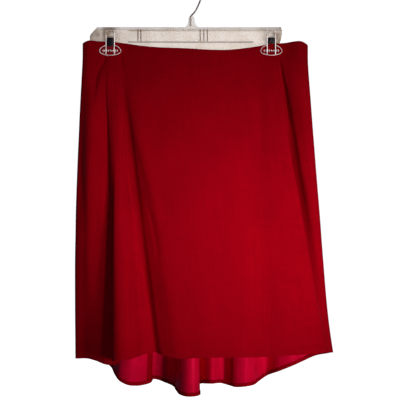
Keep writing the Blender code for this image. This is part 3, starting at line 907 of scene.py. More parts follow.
class Cloth(NamedTuple):
    """Thickness and turnings of the cloth, in mm.

    gap is between turned cloth and its panel, column and row are the mesh's spacing, bend is
    the number of steps round a fold, and the wrap pair says how far from a seam the waist's
    and the hem's folds get back from the seam's thickness to the plain one. Each turning's
    steps are its stations as shares of its width.
    """

    thickness: float = 0.55
    gap: float = 0.2
    seam_half_gap: float = 0.1
    allowance: float = 10.0
    turn_up: float = 7.0
    turn_in: float = 9.0
    column: float = 2.6
    row: float = 5.0
    bend: int = 7
    wrap: tuple[float, float] = (12.5, 18.0)
    allowance_steps: tuple[float, ...] = (1.0, 0.82, 0.6, 0.4, 0.2, 0.05)
    turn_in_steps: tuple[float, ...] = (1.0, 0.66, 0.33, 0.08)
    turn_up_steps: tuple[float, ...] = (0.08, 0.5, 0.85, 1.0)


@dataclass
class CutPanel:
    """One panel as a closed shell, with its allowances, its hem and its waist turned in."""

    form: SkirtForm
    panel: Panel
    cloth: Cloth = Cloth()

    def ends(self) -> tuple[float, float]:
        """Places of both seams, in mm round the hem."""
        first, last = self.form.place(self.panel.first), self.form.place(self.panel.last)
        return first, last if last > first else last + self.form.hem_round

    def strip(self, before: Sequence[float], count: int, after: Sequence[float]
              ) -> tuple[Array, Array, Array, Array]:
        """Stations over a stretch of cloth that is turned back at both ends.

        Args:
            before: distances back from the first fold, from the raw edge on, in mm.
            count: steps over the body.
            after: distances back from the last fold, towards the raw edge, in mm.

        Returns:
            For each station the end it is at (-1, 0 or 1), its distance back from the fold,
            its share of the body, and its angle round the fold.
        """
        bend, body = self.cloth.bend, np.linspace(0, 1, count + 1)[1:-1]
        first, last = len(before) + bend, bend + len(after)
        side = np.repeat([-1, 0, 1], [first, count - 1, last])
        back = np.concatenate([before, np.zeros(2 * bend + count - 1), after])
        share = np.concatenate([np.zeros(first), body, np.ones(last)])
        turn = np.radians(np.linspace(180, 0, bend))
        angle = np.concatenate([np.full(len(before), math.pi), turn, np.zeros(count - 1),
                                turn[::-1], np.full(len(after), math.pi)])
        return side, back, share, angle

    def columns(self) -> tuple[Array, Array, Array, Array]:
        """Set the mesh's columns, from one raw edge round the body to the other.

        Returns:
            Their stations, as strip gives them.
        """
        first, last = self.ends()
        turned = np.array(self.cloth.allowance_steps) * self.cloth.allowance
        return self.strip(turned, max(8, round((last - first) / self.cloth.column)), turned[::-1])

    def rows(self) -> tuple[Array, Array, Array, Array]:
        """Set the mesh's rows, from the turned-in waist to the turned-up hem.

        Returns:
            Their stations, as strip gives them.
        """
        turned_in = np.array(self.cloth.turn_in_steps) * self.cloth.turn_in
        turned_up = np.array(self.cloth.turn_up_steps) * self.cloth.turn_up
        return self.strip(turned_in, round(self.panel.length / MM / self.cloth.row), turned_up)

    def rate(self, seam: float, drop: Array) -> Array:
        """How wide the cloth is beside a seam.

        Args:
            seam: the seam's place in mm round the hem.
            drop: shares of the drop.

        Returns:
            Real mm for each mm round the hem.
        """
        base = np.full_like(drop, seam)
        step = self.form.plain(base + 0.5, drop) - self.form.plain(base - 0.5, drop)
        return np.linalg.norm(step, axis=-1)

    def turned_fold(self, level: float, side: Array, share: Array) -> Array:
        """Half-depth of the waist or hem fold, more where it wraps an allowance.

        Args:
            level: the fold's share of the drop, 0 or 1.
            side: the end that each column is at.
            share: each column's share of the body.

        Returns:
            Half-depths in mm.
        """
        cloth, (first, last) = self.cloth, self.ends()
        plain = cloth.thickness + cloth.gap / 2
        wrapped = 2 * cloth.thickness + 1.5 * cloth.gap
        width = [self.rate(seam, np.array([level]))[0] * (last - first) for seam in (first, last)]
        near = np.minimum(share * width[0], (1 - share) * width[1])
        return wrapped + (plain - wrapped) * smooth_step(*cloth.wrap, near) * (side == 0)

    def grids(self) -> tuple[Array, Array, Array]:
        """Both faces of the shell.

        Returns:
            The outer and inner face's points in mm, and their flat places in metres.
        """
        cloth, (first, last) = self.cloth, self.ends()
        side, back, share, angle = (part[:, None] for part in self.columns())
        row_side, row_back, row_share, row_angle = (part[None, :] for part in self.rows())
        fold = cloth.thickness + cloth.gap / 2
        lead = fold + cloth.seam_half_gap
        middle = first + (last - first) * share
        top = self.form.plain(middle, np.zeros_like(middle))
        bottom = self.form.plain(middle, np.ones_like(middle))
        length = np.linalg.norm(bottom - top, axis=-1)
        upper, lower = (self.turned_fold(level, side, share) for level in (0.0, 1.0))
        turn = np.where(row_side < 0, upper, lower)
        start, end = upper / length, 1 - lower / length
        drop = start + (end - start) * row_share
        drop = drop + np.where(row_side < 0, 1.0, -1.0) * row_back / length
        left = first + (lead + back * (side < 0)) / self.rate(first, drop)
        right = last - (lead + back * (side > 0)) / self.rate(last, drop)
        around = left * (1 - share) + right * share
        points, across, down, outward = self.form.frames(around, drop)
        faces = []
        for depth in (0.0, cloth.thickness):
            reach = fold - depth
            beside = side * reach * np.sin(angle)
            behind = fold - reach * np.cos(angle)
            beyond = row_side * (turn - behind) * np.sin(row_angle)
            deep = np.where(row_side == 0, behind, turn - (turn - behind) * np.cos(row_angle))
            faces.append(points + across * beside[..., None] + down * beyond[..., None]
                         - outward * deep[..., None])
        return faces[0], faces[1], self.flat_places(faces[0])

    @staticmethod
    def flat_places(grid: Array) -> Array:
        """Distances across and down the cloth, for its weave.

        Args:
            grid: points of a face in mm, by column and row.

        Returns:
            Flat places in metres, by column and row.
        """
        def walked(line: Array) -> Array:
            """Distance of each point from the first, along the line, in metres."""
            steps = np.linalg.norm(np.diff(line, axis=0), axis=1)
            return np.concatenate(([0.0], np.cumsum(steps))) * MM

        across = walked(grid[:, grid.shape[1] // 2])
        down = walked(grid[grid.shape[0] // 2])
        return np.stack(np.meshgrid(across, -down, indexing="ij"), axis=-1)

    def build(self, outside: bpy.types.Material, inside: bpy.types.Material) -> bpy.types.Object:
        """Make the shell.

        Args:
            outside: finish of the crepe face and of the cut edges.
            inside: finish of the satin face.

        Returns:
            The panel's object.
        """
        outer, inner, flat = self.grids()
        columns, rows = outer.shape[:2]
        size = columns * rows
        index = np.arange(size).reshape(columns, rows)
        faces_out = np.stack([index[:-1, :-1], index[:-1, 1:], index[1:, 1:], index[1:, :-1]],
                             axis=-1).reshape(-1, 4)
        faces_in = faces_out[:, ::-1] + size
        loop = np.concatenate([index[0, :], index[1:, -1], index[-1, -2::-1], index[-2::-1, 0]])
        edge = np.stack([loop[1:], loop[:-1], loop[:-1] + size, loop[1:] + size], axis=-1)
        faces = np.concatenate([faces_out, faces_in, edge])
        vertices = np.concatenate([outer.reshape(-1, 3), inner.reshape(-1, 3)]) * MM
        name = f"{self.panel.node}_cloth"
        mesh = bpy.data.meshes.new(name)
        mesh.from_pydata(vertices.tolist(), [], faces.tolist())
        layer = mesh.uv_layers.new(name="cloth")
        places = np.concatenate([flat.reshape(-1, 2), flat.reshape(-1, 2)])
        layer.data.foreach_set("uv", places[faces.reshape(-1)].astype(np.float32).reshape(-1))
        mesh.materials.append(outside)
        mesh.materials.append(inside)
        slots = np.zeros(len(faces), dtype=np.int32)
        slots[len(faces_out):2 * len(faces_out)] = 1
        mesh.polygons.foreach_set("material_index", slots)
        mesh.shade_smooth()
        mesh.update()
        piece = add_piece(name, mesh)
        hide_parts(self.panel.node, f"{self.panel.node}_first_allowance",
                    f"{self.panel.node}_last_allowance", f"{self.panel.node}_hem_turn_up")
        return piece


# ---------------------------------------------------------------- helpers for meshes
def add_piece(name: str, mesh: bpy.types.Mesh) -> bpy.types.Object:
    """Put a mesh in the scene as a piece that rides on the body.

    Args:
        name: the piece's name.
        mesh: its mesh.

    Returns:
        The piece.
    """
    piece = loose_object(name, mesh)
    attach(piece, BODY)
    LOG.info("%s: %d faces", name, len(mesh.polygons))
    return piece


def loose_object(name: str, data: bpy.types.ID) -> bpy.types.Object:
    """Put a mesh, a curve or a lamp in the scene.

    Args:
        name: name of the object.
        data: what it holds.

    Returns:
        The object.
    """
    made = bpy.data.objects.new(name, data)
    bpy.context.scene.collection.objects.link(made)
    return made


def plain_mesh(source: bpy.types.Object, name: str) -> bpy.types.Mesh:
    """Keep an object's evaluated mesh and remove the object.

    Args:
        source: the object.
        name: name of the mesh.

    Returns:
        The mesh.
    """
    bpy.context.view_layer.update()
    graph = bpy.context.evaluated_depsgraph_get()
    mesh = bpy.data.meshes.new_from_object(source.evaluated_get(graph))
    mesh.name = name
    bpy.data.objects.remove(source, do_unlink=True)
    return mesh


def coat(mesh: bpy.types.Mesh, material: bpy.types.Material, sharp: bool = False) -> None:
    """Give a mesh its only finish and smooth it.

    Args:
        mesh: the mesh.
        material: its finish.
        sharp: whether its edges stay sharp.
    """
    mesh.materials.clear()
    mesh.materials.append(material)
    mesh.shade_smooth()
    if sharp:
        mesh.set_sharp_from_angle(angle=SHARP_ANGLE)


def prism(outline: Sequence[tuple[float, float]], near: float, far: float,
          bevel: float = 0.3, plane: str = "xz") -> bpy.types.Mesh:
    """Closed prism with rounded edges.

    Args:
        outline: corners in mm, x and z, or y and z where plane says so.
        near: where it starts along the third axis, in mm.
        far: where it ends.
        bevel: radius of the rounding, in mm.
        plane: xz or yz.

    Returns:
        The mesh.
    """
    model = bmesh.new()
    ends = []
    for level in (near, far):
        ring = [(a, level, b) if plane == "xz" else (level, a, b) for a, b in outline]
        ends.append([model.verts.new([value * MM for value in point]) for point in ring])
    caps = [model.faces.new(ends[0]), model.faces.new(ends[1][::-1])]
    for i in range(len(outline)):
        j = (i + 1) % len(outline)
        model.faces.new((ends[0][i], ends[1][i], ends[1][j], ends[0][j]))
    bmesh.ops.recalc_face_normals(model, faces=model.faces[:])
    if bevel:
        rim = list({edge for cap in caps for edge in cap.edges})
        bmesh.ops.bevel(model, geom=rim, offset=bevel * MM, segments=2, profile=0.5,
                        affect="EDGES", clamp_overlap=True)
    mesh = bpy.data.meshes.new("shape")
    model.to_mesh(mesh)
    model.free()
    return mesh


def tube(path: Array, radius: float, sides: int = 12, closed: bool = False) -> bpy.types.Mesh:
    """Round bar along a path.

    Args:
        path: points in mm.
        radius: in mm.
        sides: faces round it.
        closed: whether it ends where it starts.

    Returns:
        The mesh.
    """
    curve = bpy.data.curves.new("path", "CURVE")
    curve.dimensions = "3D"
    curve.bevel_depth = radius * MM
    curve.bevel_resolution = max(0, sides // 2 - 2)
    curve.use_fill_caps = not closed
    spline = curve.splines.new("POLY")
    spline.points.add(len(path) - 1)
    for point, place in zip(spline.points, path):
        point.co = (*(float(value) * MM for value in place), 1.0)
    spline.use_cyclic_u = closed
    return plain_mesh(loose_object("path", curve), "tube")


def joined(meshes: Sequence[bpy.types.Mesh], name: str) -> bpy.types.Mesh:
    """Put several meshes in one, side by side.

    Args:
        meshes: the meshes.
        name: name of the result.

    Returns:
        The mesh.
    """
    model = bmesh.new()
    for part in meshes:
        model.from_mesh(part)
    mesh = bpy.data.meshes.new(name)
    model.to_mesh(mesh)
    model.free()
    return mesh


def combined(meshes: Sequence[bpy.types.Mesh], cutters: Sequence[bpy.types.Mesh],
             name: str) -> bpy.types.Mesh:
    """Join meshes into one solid and cut others out of it.

    Args:
        meshes: what is joined, the main shape first.
        cutters: what is cut out.
        name: name of the result.

    Returns:
        The mesh.
    """
    main = loose_object(name, meshes[0])
    helpers = []
    for operation, group in (("UNION", meshes[1:]), ("DIFFERENCE", cutters)):
        for mesh in group:
            other = loose_object("other", mesh)
            helpers.append(other)
            step = main.modifiers.new(operation, "BOOLEAN")
            step.operation = operation
            step.solver = "EXACT"
            step.object = other
    result = plain_mesh(main, name)
    for other in helpers:
        bpy.data.objects.remove(other, do_unlink=True)
    return result


def smooth_path(points: Sequence[Sequence[float]], steps: int) -> Array:
    """Draw a smooth open curve through some points.

    Args:
        points: the points.
        steps: steps from each to the next.

    Returns:
        The curve's points.
    """
    knots = np.asarray(points, dtype=float)
    padded = np.vstack([2 * knots[0] - knots[1], knots, 2 * knots[-1] - knots[-2]])
    out = []
    for i in range(len(knots) - 1):
        a, b, c, d = padded[i:i + 4]
        for t in np.linspace(0, 1, steps, endpoint=False):
            out.append(0.5 * (2 * b + (c - a) * t + (2 * a - 5 * b + 4 * c - d) * t ** 2
                              + (3 * b - a - 3 * c + d) * t ** 3))
    out.append(knots[-1])
    return np.array(out)


# ---------------------------------------------------------------- rows of small things
class Element(Enum):
    """What a row repeats."""

    STITCH = "stitch"
    TOOTH = "tooth"


@dataclass
class Row:
    """A Geometry Nodes tree that sets small things along a path."""

    element: Element
    name: str
    tree: bpy.types.NodeTree = field(init=False)

    def __post_init__(self) -> None:
        """Build the tree with its named inputs."""
        self.tree = bpy.data.node_groups.new(self.name, "GeometryNodeTree")
        face = self.tree.interface
        face.new_socket("Geometry", in_out="INPUT", socket_type="NodeSocketGeometry")
        for label, value in (("Pitch", 0.003), ("Unevenness", 0.06)):
            face.new_socket(label, in_out="INPUT", socket_type="NodeSocketFloat").default_value = value
        for label in ("Size", "Turn"):
            face.new_socket(label, in_out="INPUT", socket_type="NodeSocketVector")
        face.new_socket("Seed", in_out="INPUT", socket_type="NodeSocketInt").default_value = 3
        face.new_socket("Material", in_out="INPUT", socket_type="NodeSocketMaterial")
        face.new_socket("Geometry", in_out="OUTPUT", socket_type="NodeSocketGeometry")
        kit = NodeKit(self.tree)
        given = kit.node("NodeGroupInput").outputs
        curve = kit.node("GeometryNodeMeshToCurve", None, {"Mesh": given["Geometry"]})
        spaced = kit.node("GeometryNodeResampleCurve", {"mode": "LENGTH"},
                          {"Curve": curve.outputs[0], "Length": given["Pitch"]})
        if self.element is Element.STITCH:
            single = kit.node("GeometryNodeMeshIcoSphere", None,
                              {"Radius": 0.5, "Subdivisions": 1})
        else:
            single = kit.node("GeometryNodeMeshCone", {"fill_type": "NGON"},
                              {"Vertices": 4, "Radius Top": 0.25, "Radius Bottom": 0.5,
                               "Depth": 1.0})
        tangent = kit.node("GeometryNodeInputTangent")
        outward = kit.node("GeometryNodeInputNamedAttribute", {"data_type": "FLOAT_VECTOR"},
                           {"Name": "outward"})
        facing = kit.node("FunctionNodeAxesToRotation",
                          {"primary_axis": "X", "secondary_axis": "Z"},
                          {"Primary Axis": tangent.outputs[0],
                           "Secondary Axis": outward.outputs[0]})
        chance = kit.node("FunctionNodeRandomValue", {"data_type": "FLOAT"},
                          {"Min": -1.0, "Max": 1.0, "Seed": given["Seed"]})
        uneven = kit.node("ShaderNodeMath", {"operation": "MULTIPLY_ADD"},
                          {0: chance.outputs[1], 1: given["Unevenness"], 2: 1.0})
        size = kit.node("ShaderNodeVectorMath", {"operation": "SCALE"},
                        {0: given["Size"], "Scale": uneven.outputs[0]})
        placed = kit.node("GeometryNodeInstanceOnPoints", None,
                          {"Points": spaced.outputs[0], "Instance": single.outputs[0],
                           "Rotation": facing.outputs[0], "Scale": size.outputs[0]})
        turned = kit.node("GeometryNodeRotateInstances", None,
                          {"Instances": placed.outputs[0], "Rotation": given["Turn"],
                           "Local Space": True})
        real = kit.node("GeometryNodeRealizeInstances", None, {"Geometry": turned.outputs[0]})
        dressed = kit.node("GeometryNodeSetMaterial", None,
                           {"Geometry": real.outputs[0], "Material": given["Material"]})
        kit.node("NodeGroupOutput", None, {"Geometry": dressed.outputs[0]})

    def along(self, paths: Sequence[tuple[Array, Array]], pitch: float,
              size: tuple[float, float, float], material: bpy.types.Material,
              turn: float = 0.0, unevenness: float = 0.06) -> bpy.types.Mesh:
        """Set the small things along some paths.

        Args:
            paths: pairs of points and outward directions, in mm.
            pitch: distance from one to the next, in mm.
            size: along the path, across it and outward, in mm.
            material: their finish.
            turn: turn about the outward direction, in degrees.
            unevenness: how much their size varies, as a share.

        Returns:
            One mesh of them all.
        """
        mesh = bpy.data.meshes.new(self.name)
        points = np.concatenate([path for path, _ in paths]) * MM
        facing = np.concatenate([direction for _, direction in paths])
        edges, start = [], 0
        for path, _ in paths:
            edges += [(start + i, start + i + 1) for i in range(len(path) - 1)]
            start += len(path)
        mesh.from_pydata(points.tolist(), edges, [])
        outward = mesh.attributes.new("outward", "FLOAT_VECTOR", "POINT")
        outward.data.foreach_set("vector", facing.astype(np.float32).reshape(-1))
        carrier = loose_object(self.name, mesh)
        step = carrier.modifiers.new("Row", "NODES")
        step.node_group = self.tree
        values = {"Pitch": pitch * MM, "Size": [value * MM for value in size], "Seed": 3,
                  "Turn": [0.0, 0.0, math.radians(turn)], "Unevenness": unevenness,
                  "Material": material}
        for item in self.tree.interface.items_tree:
            if item.in_out == "INPUT" and item.name in values:
                step[item.identifier] = values[item.name]
        return plain_mesh(carrier, self.name)


@dataclass
class Sewing:
    """The stitch lines and overlocked edges of the skirt, in mm.

    A stitch and a loop are given by their sizes along the seam, across it and outward. The
    hem's stitches start hem_end from a seam, the overlocking reaches over edge_drop as shares
    of the drop, and a loop's middle is inset from the raw edge by a share of its width.
    """

    form: SkirtForm
    cloth: Cloth = Cloth()
    hem_stitch: tuple[float, float, float] = (2.3, 0.42, 0.3)
    hem_pitch: float = 3.0
    hem_up: float = 5.8
    hem_end: float = 1.2
    hem_step: float = 4.0
    loop: tuple[float, float, float] = (0.6, 2.9, 1.15)
    loop_pitch: float = 1.9
    loop_slant: float = 14.0
    loop_inset: float = 0.32
    edge_drop: tuple[float, float] = (0.02, 0.982)
    edge_steps: int = 120
    sunk: float = 0.05

    def line_round(self, panel: Panel, up: float, depth: float) -> tuple[Array, Array]:
        """A path along one panel's hem.

        Args:
            panel: the panel.
            up: distance above the hem's edge, in mm.
            depth: distance behind the outer face, in mm.

        Returns:
            Points in mm and their outward directions.
        """
        first, last = CutPanel(self.form, panel).ends()
        around = np.linspace(first + self.hem_end, last - self.hem_end,
                             round((last - first) / self.hem_step))
        length = np.linalg.norm(self.form.plain(around, np.ones_like(around))
                                - self.form.plain(around, np.zeros_like(around)), axis=-1)
        points, _, _, outward = self.form.frames(around, 1 - up / length)
        facing = outward if depth <= 0 else -outward
        return points - outward * depth, facing

    def edge_down(self, panel: Panel, side: int) -> tuple[Array, Array]:
        """A path down the raw edge of one seam allowance.

        Args:
            panel: the panel.
            side: -1 for its first seam, 1 for its last.

        Returns:
            Points in mm and their outward directions.
        """
        cut = CutPanel(self.form, panel)
        seam = cut.ends()[0 if side < 0 else 1]
        drop = np.linspace(*self.edge_drop, self.edge_steps)
        reach = self.cloth.allowance - self.loop[1] * self.loop_inset
        around = seam - side * reach / cut.rate(seam, drop)
        points, _, _, outward = self.form.frames(around, drop)
        return points - outward * (1.5 * self.cloth.thickness + self.cloth.gap), -outward

    def build(self, thread: bpy.types.Material) -> list[bpy.types.Object]:
        """Sew the hem and the allowances.

        Args:
            thread: finish of the thread.

        Returns:
            The stitches and the overlocked edges.
        """
        row = Row(Element.STITCH, "stitch_row")
        outside = [self.line_round(panel, self.hem_up, -self.sunk) for panel in PANELS]
        inner_depth = 2 * self.cloth.thickness + self.cloth.gap + self.sunk
        inside = [self.line_round(panel, self.hem_up, inner_depth) for panel in PANELS]
        edges = [self.edge_down(panel, side) for panel in PANELS for side in (-1, 1)]
        made = []
        for name, paths, pitch, size, turn in (
                ("hem_stitches", outside + inside, self.hem_pitch, self.hem_stitch, 0.0),
                ("overlocked_edges", edges, self.loop_pitch, self.loop, self.loop_slant)):
            piece = add_piece(name, row.along(paths, pitch, size, thread, turn))
            piece.data.shade_smooth()
            made.append(piece)
        return made


# ---------------------------------------------------------------- the hanger
def facing_front(path: Array) -> tuple[Array, Array]:
    """A path with a direction towards the front at each of its points."""
    return path, np.tile((0.0, -1.0, 0.0), (len(path), 1))


@dataclass
class ClipHanger:
    """Clear clip hanger: plate, boss, jaws, springs and wire hook, in mm.

    An arc round a clip's window is given by its radius and its two angles, a bead and a tooth
    by their sizes along the row, across it and outward. The boss's side is given from its
    middle, and the bend of the wire from the hook's, both as x and z. A face is flat where its
    normal's part along y is above flat_from, and near is the least distance that counts.
    """

    clear: bpy.types.Material
    jaw_clear: bpy.types.Material
    steel: bpy.types.Material
    wire: bpy.types.Material
    left: float = -187.0
    right: float = 168.5
    top: float = -86.2
    bottom: float = -130.0
    web: float = 2.4
    flange_depth: float = 9.2
    flange_z: tuple[float, float] = (-88.8, -85.8)
    lower_rib_x: tuple[float, float] = (-116.0, 116.0)
    lower_rib_z: tuple[float, float] = (-113.6, -111.4)
    lower_rib_depth: float = 6.2
    upright_ribs_x: tuple[float, ...] = (-98.0, -92.5, 17.2, 24.0, 30.5)
    upright_rib_width: float = 1.9
    upright_rib_depth: float = 5.2
    clips_x: tuple[float, float] = (-148.0, 148.0)
    jaw_z: float = -131.6
    jaw_half_width: float = 20.0
    jaw_rise: float = 12.5
    jaw_drop: float = 7.6
    jaw_plate: float = 2.0
    pad_rim_inset: float = 0.5
    pad_rim_wire: float = 0.3
    jaw_rib_width: float = 1.2
    jaw_rib_height: float = 0.9
    ring_z: float = -107.0
    stem_half_width: float = 8.4
    stem_top: float = -92.0
    stem_corner: float = 3.0
    lean_z: tuple[float, float] = (-112.4, -109.6)
    pinched_half: float = 2.2
    gap: float = 0.3
    spring_width: float = 12.6
    spring_strip: float = 0.8
    spring_bend: float = 1.6
    spring_front_ends_z: tuple[float, float] = (-122.2, -117.2)
    spring_rear_end_z: float = -117.0
    window_z: tuple[float, float] = (-109.0, -104.0)
    wire_radius: float = 1.5
    hook_radius: float = 22.5
    boss_x: float = 1.2
    wire_x: float = -0.8
    boss_depth: float = 8.0
    boss_side: tuple[tuple[float, float], ...] = (
        (21.0, -87.4), (13.0, -86.0), (8.6, -82.6), (6.6, -78.0), (5.8, -72.0), (4.9, -66.4))
    bore_z: tuple[float, float] = (-83.0, -60.0)
    wire_upright_z: tuple[float, ...] = (-82.7, -74.0, -66.6)
    wire_bend: tuple[tuple[float, float], ...] = (
        (-0.2, -64.9), (1.3, -63.0), (3.7, -60.6), (6.5, -57.6), (9.0, -53.8), (11.4, -49.4),
        (13.7, -44.6), (15.7, -39.8))
    loop_from_z: float = -34.7
    loop_to_angle: float = 205.0
    arcs: tuple[tuple[float, float, float], ...] = ((10.6, -12.0, 192.0), (13.2, -8.0, 188.0))
    arc_wire: float = 0.4
    bead_arc: tuple[float, float, float] = (15.8, -4.0, 184.0)
    bead_pitch: float = 3.1
    bead: tuple[float, float, float] = (2.1, 2.1, 1.2)
    teeth_half_width: float = 13.0
    tooth_pitch: float = 2.9
    tooth: tuple[float, float, float] = (1.7, 6.0, 1.8)
    teeth_above_middle: float = 0.8
    teeth_sunk: float = 0.4
    flat_from: float = 0.95
    near: float = 0.1

    def jaw_back(self) -> float:
        """Back of the front jaws' plates, in mm along y."""
        return CLIP_PLANE_Y - self.pinched_half - self.gap

    def oval(self, x: float, start: float, end: float, steps: int,
             inset: float = 0.0) -> list[tuple[float, float]]:
        """Draw a jaw's oval between two angles.

        Args:
            x: middle of the jaw.
            start: first angle in degrees.
            end: last angle in degrees.
            steps: number of points.
            inset: how far inside the edge it runs.

        Returns:
            Points as x and z.
        """
        points = []
        for a in np.radians(np.linspace(start, end, steps)):
            reach = (self.jaw_rise if math.sin(a) > 0 else self.jaw_drop) - inset
            points.append((x + (self.jaw_half_width - inset) * math.cos(a),
                           self.jaw_z + reach * math.sin(a)))
        return points

    @staticmethod
    def box(left: float, right: float, low: float, high: float) -> list[tuple[float, float]]:
        """Four corners of a rectangle."""
        return [(left, low), (right, low), (right, high), (left, high)]

    def plate_outline(self) -> list[tuple[float, float]]:
        """Draw the plate from the front, with a rear jaw hanging down at each clip.

        Returns:
            Points as x and z.
        """
        meet = math.degrees(math.asin((self.bottom - self.jaw_z) / self.jaw_drop))
        outline = [(self.left + 16, self.top), (self.left + 12, self.top - 0.8),
                   (self.left + 8, self.top - 5), (self.left + 2, self.top - 12),
                   (self.left + 0.4, self.top - 14.5), (self.left, self.top - 17.5),
                   (self.left, self.bottom + 6), (self.left + 1.4, self.bottom + 2),
                   (self.left + 5, self.bottom)]
        for x in self.clips_x:
            outline += self.oval(x, 180 - meet, 360 + meet, 25)
        outline += [(self.right - 4.5, self.top - 29), (self.right - 2, self.top - 23),
                    (self.right, self.top - 12), (self.right, self.top - 5),
                    (self.right - 1.2, self.top - 1.2), (self.right - 4, self.top)]
        return outline

    def boss_outline(self) -> list[tuple[float, float]]:
        """Draw the boss that holds the wire, wide at its foot.

        Returns:
            Points as x and z.
        """
        side = smooth_path(self.boss_side, 4)
        return ([(self.boss_x + x, z) for x, z in side]
                + [(self.boss_x - x, z) for x, z in side[::-1]])

    def make_bar(self) -> bpy.types.Object:
        """Mould the plate with its rear jaws, flange, ribs and boss.

        Returns:
            The bar.
        """
        low, high = sum(self.lower_rib_z) / 2, sum(self.flange_z) / 2
        edge = self.upright_rib_width / 2
        flange = self.box(self.left + 13.4, self.right - 2.2, *self.flange_z)
        lower_rib = self.box(*self.lower_rib_x, *self.lower_rib_z)
        solids = [(self.plate_outline(), self.web, 0.5), (flange, self.flange_depth, 0.7),
                  (lower_rib, self.lower_rib_depth, 0.6), (self.boss_outline(), self.boss_depth, 1.6)]
        solids += [(self.box(x - edge, x + edge, low, high), self.upright_rib_depth, 0.4)
                   for x in self.upright_ribs_x]
        shapes = [prism(outline, -depth / 2, depth / 2, bevel) for outline, depth, bevel in solids]
        cuts = [tube(np.array([(self.wire_x, 0, z) for z in self.bore_z]),
                     self.wire_radius + self.gap, 16)]
        for x in self.clips_x:
            edge = self.spring_width / 2 + 2 * self.gap
            cuts.append(prism(self.box(x - edge, x + edge, *self.window_z), -5, 5, 0))
        mesh = combined(shapes, cuts, "hanger_bar_clear")
        for x in self.clips_x:
            mesh = joined([mesh, *self.rings(x)], "hanger_bar_clear")
        return self.dress(mesh, self.clear, "hanger_bar", self.web / 2)

    def rings(self, x: float) -> list[bpy.types.Mesh]:
        """Mould the arcs on the plate round one clip's window, the outer one of beads.

        Args:
            x: middle of the clip.

        Returns:
            A mesh for each arc.
        """
        def arc(radius: float, start: float, end: float) -> Array:
            """Points of an arc just off the plate's front."""
            turn = np.radians(np.linspace(start, end, 40))
            return np.stack([x + radius * np.cos(turn), np.full_like(turn, -self.web / 2 - 0.1),
                             self.ring_z + radius * np.sin(turn)], axis=-1)

        made = [tube(arc(*row), self.arc_wire, 6) for row in self.arcs]
        beads = Row(Element.STITCH, f"bead_row_{x:.0f}")
        made.append(beads.along([facing_front(arc(*self.bead_arc))], self.bead_pitch, self.bead,
                                self.clear))
        return made

    def pad_edge(self, x: float, steps: int, inset: float = 0.0) -> list[tuple[float, float]]:
        """Draw a front jaw's oval pad from one side of its stem round to the other.

        Args:
            x: middle of the jaw.
            steps: number of points.
            inset: how far inside the edge it runs.

        Returns:
            Points as x and z.
        """
        neck = math.degrees(math.acos(self.stem_half_width / self.jaw_half_width))
        return self.oval(x, 180 - neck, 360 + neck, steps, inset)

    def jaw_outline(self, x: float) -> list[tuple[float, float]]:
        """Draw a front jaw: a stem with round shoulders over the pad.

        Args:
            x: middle of the jaw.

        Returns:
            Points as x and z.
        """
        half, top, corner = self.stem_half_width, self.stem_top, self.stem_corner
        shoulders = [(x + half, top - corner - 2), (x + half - 0.5, top - corner + 0.4),
                     (x + half - corner, top), (x - half + corner, top),
                     (x - half + 0.5, top - corner + 0.4), (x - half, top - corner - 2)]
        return shoulders + self.pad_edge(x, 33)

    def make_jaw(self, side: str, x: float) -> bpy.types.Object:
        """Mould a front jaw: a rimmed oval pad on a stem, with ribs and a row of teeth.

        Args:
            side: left or right.
            x: middle of the clip.

        Returns:
            The jaw.
        """
        back, half = self.jaw_back(), self.stem_half_width
        front = back - self.jaw_plate
        shapes = [prism(self.jaw_outline(x), back, front, 0.4)]
        rim = [(a, front + 0.1, b) for a, b in self.pad_edge(x, 40, self.pad_rim_inset)]
        shapes.append(tube(np.array(rim), self.pad_rim_wire, 8))
        lean = self.box(x - half + 0.6, x + half - 0.6, *self.lean_z)
        shapes.append(prism(lean, back - 0.5, -self.web / 2 - self.gap, 0.3))
        for edge in (-1, 1):
            middle = x + edge * (half - 0.2 - self.jaw_rib_width / 2)
            rib = self.box(middle - self.jaw_rib_width / 2, middle + self.jaw_rib_width / 2,
                           self.jaw_z - 0.75 * self.jaw_drop, self.window_z[1] + 2.5)
            shapes.append(prism(rib, back - 0.5, front - self.jaw_rib_height, 0.3))
        edge = self.spring_width / 2 + self.gap
        window = prism(self.box(x - edge, x + edge, *self.window_z), back + 2, front - 2, 0)
        mesh = combined(shapes, [window], f"clip_jaw_{side}_clear")
        teeth = Row(Element.TOOTH, f"tooth_row_{side}")
        steps = np.linspace(-self.teeth_half_width, self.teeth_half_width, 15)
        path = np.array([(x + step, front - self.teeth_sunk, self.jaw_z + self.teeth_above_middle)
                         for step in steps])
        row = teeth.along([facing_front(path)], self.tooth_pitch, self.tooth, self.jaw_clear)
        mesh = joined([mesh, row], f"clip_jaw_{side}_clear")
        return self.dress(mesh, self.jaw_clear, f"clip_jaw_{side}", None)

    def dress(self, mesh: bpy.types.Mesh, material: bpy.types.Material, node: str,
              face_y: float | None) -> bpy.types.Object:
        """Finish a clear piece, whose edges and ribs are marked by an attribute named rim.

        Args:
            mesh: its mesh.
            material: its finish.
            node: the node that it stands for.
            face_y: distance in mm of the flat faces from the middle, or None for a jaw.

        Returns:
            The piece.
        """
        rim = mesh.attributes.new("rim", "FLOAT", "FACE")
        rim.data.foreach_set("value", self.marks(mesh, face_y))
        coat(mesh, material, sharp=True)
        piece = add_piece(mesh.name, mesh)
        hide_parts(node)
        return piece

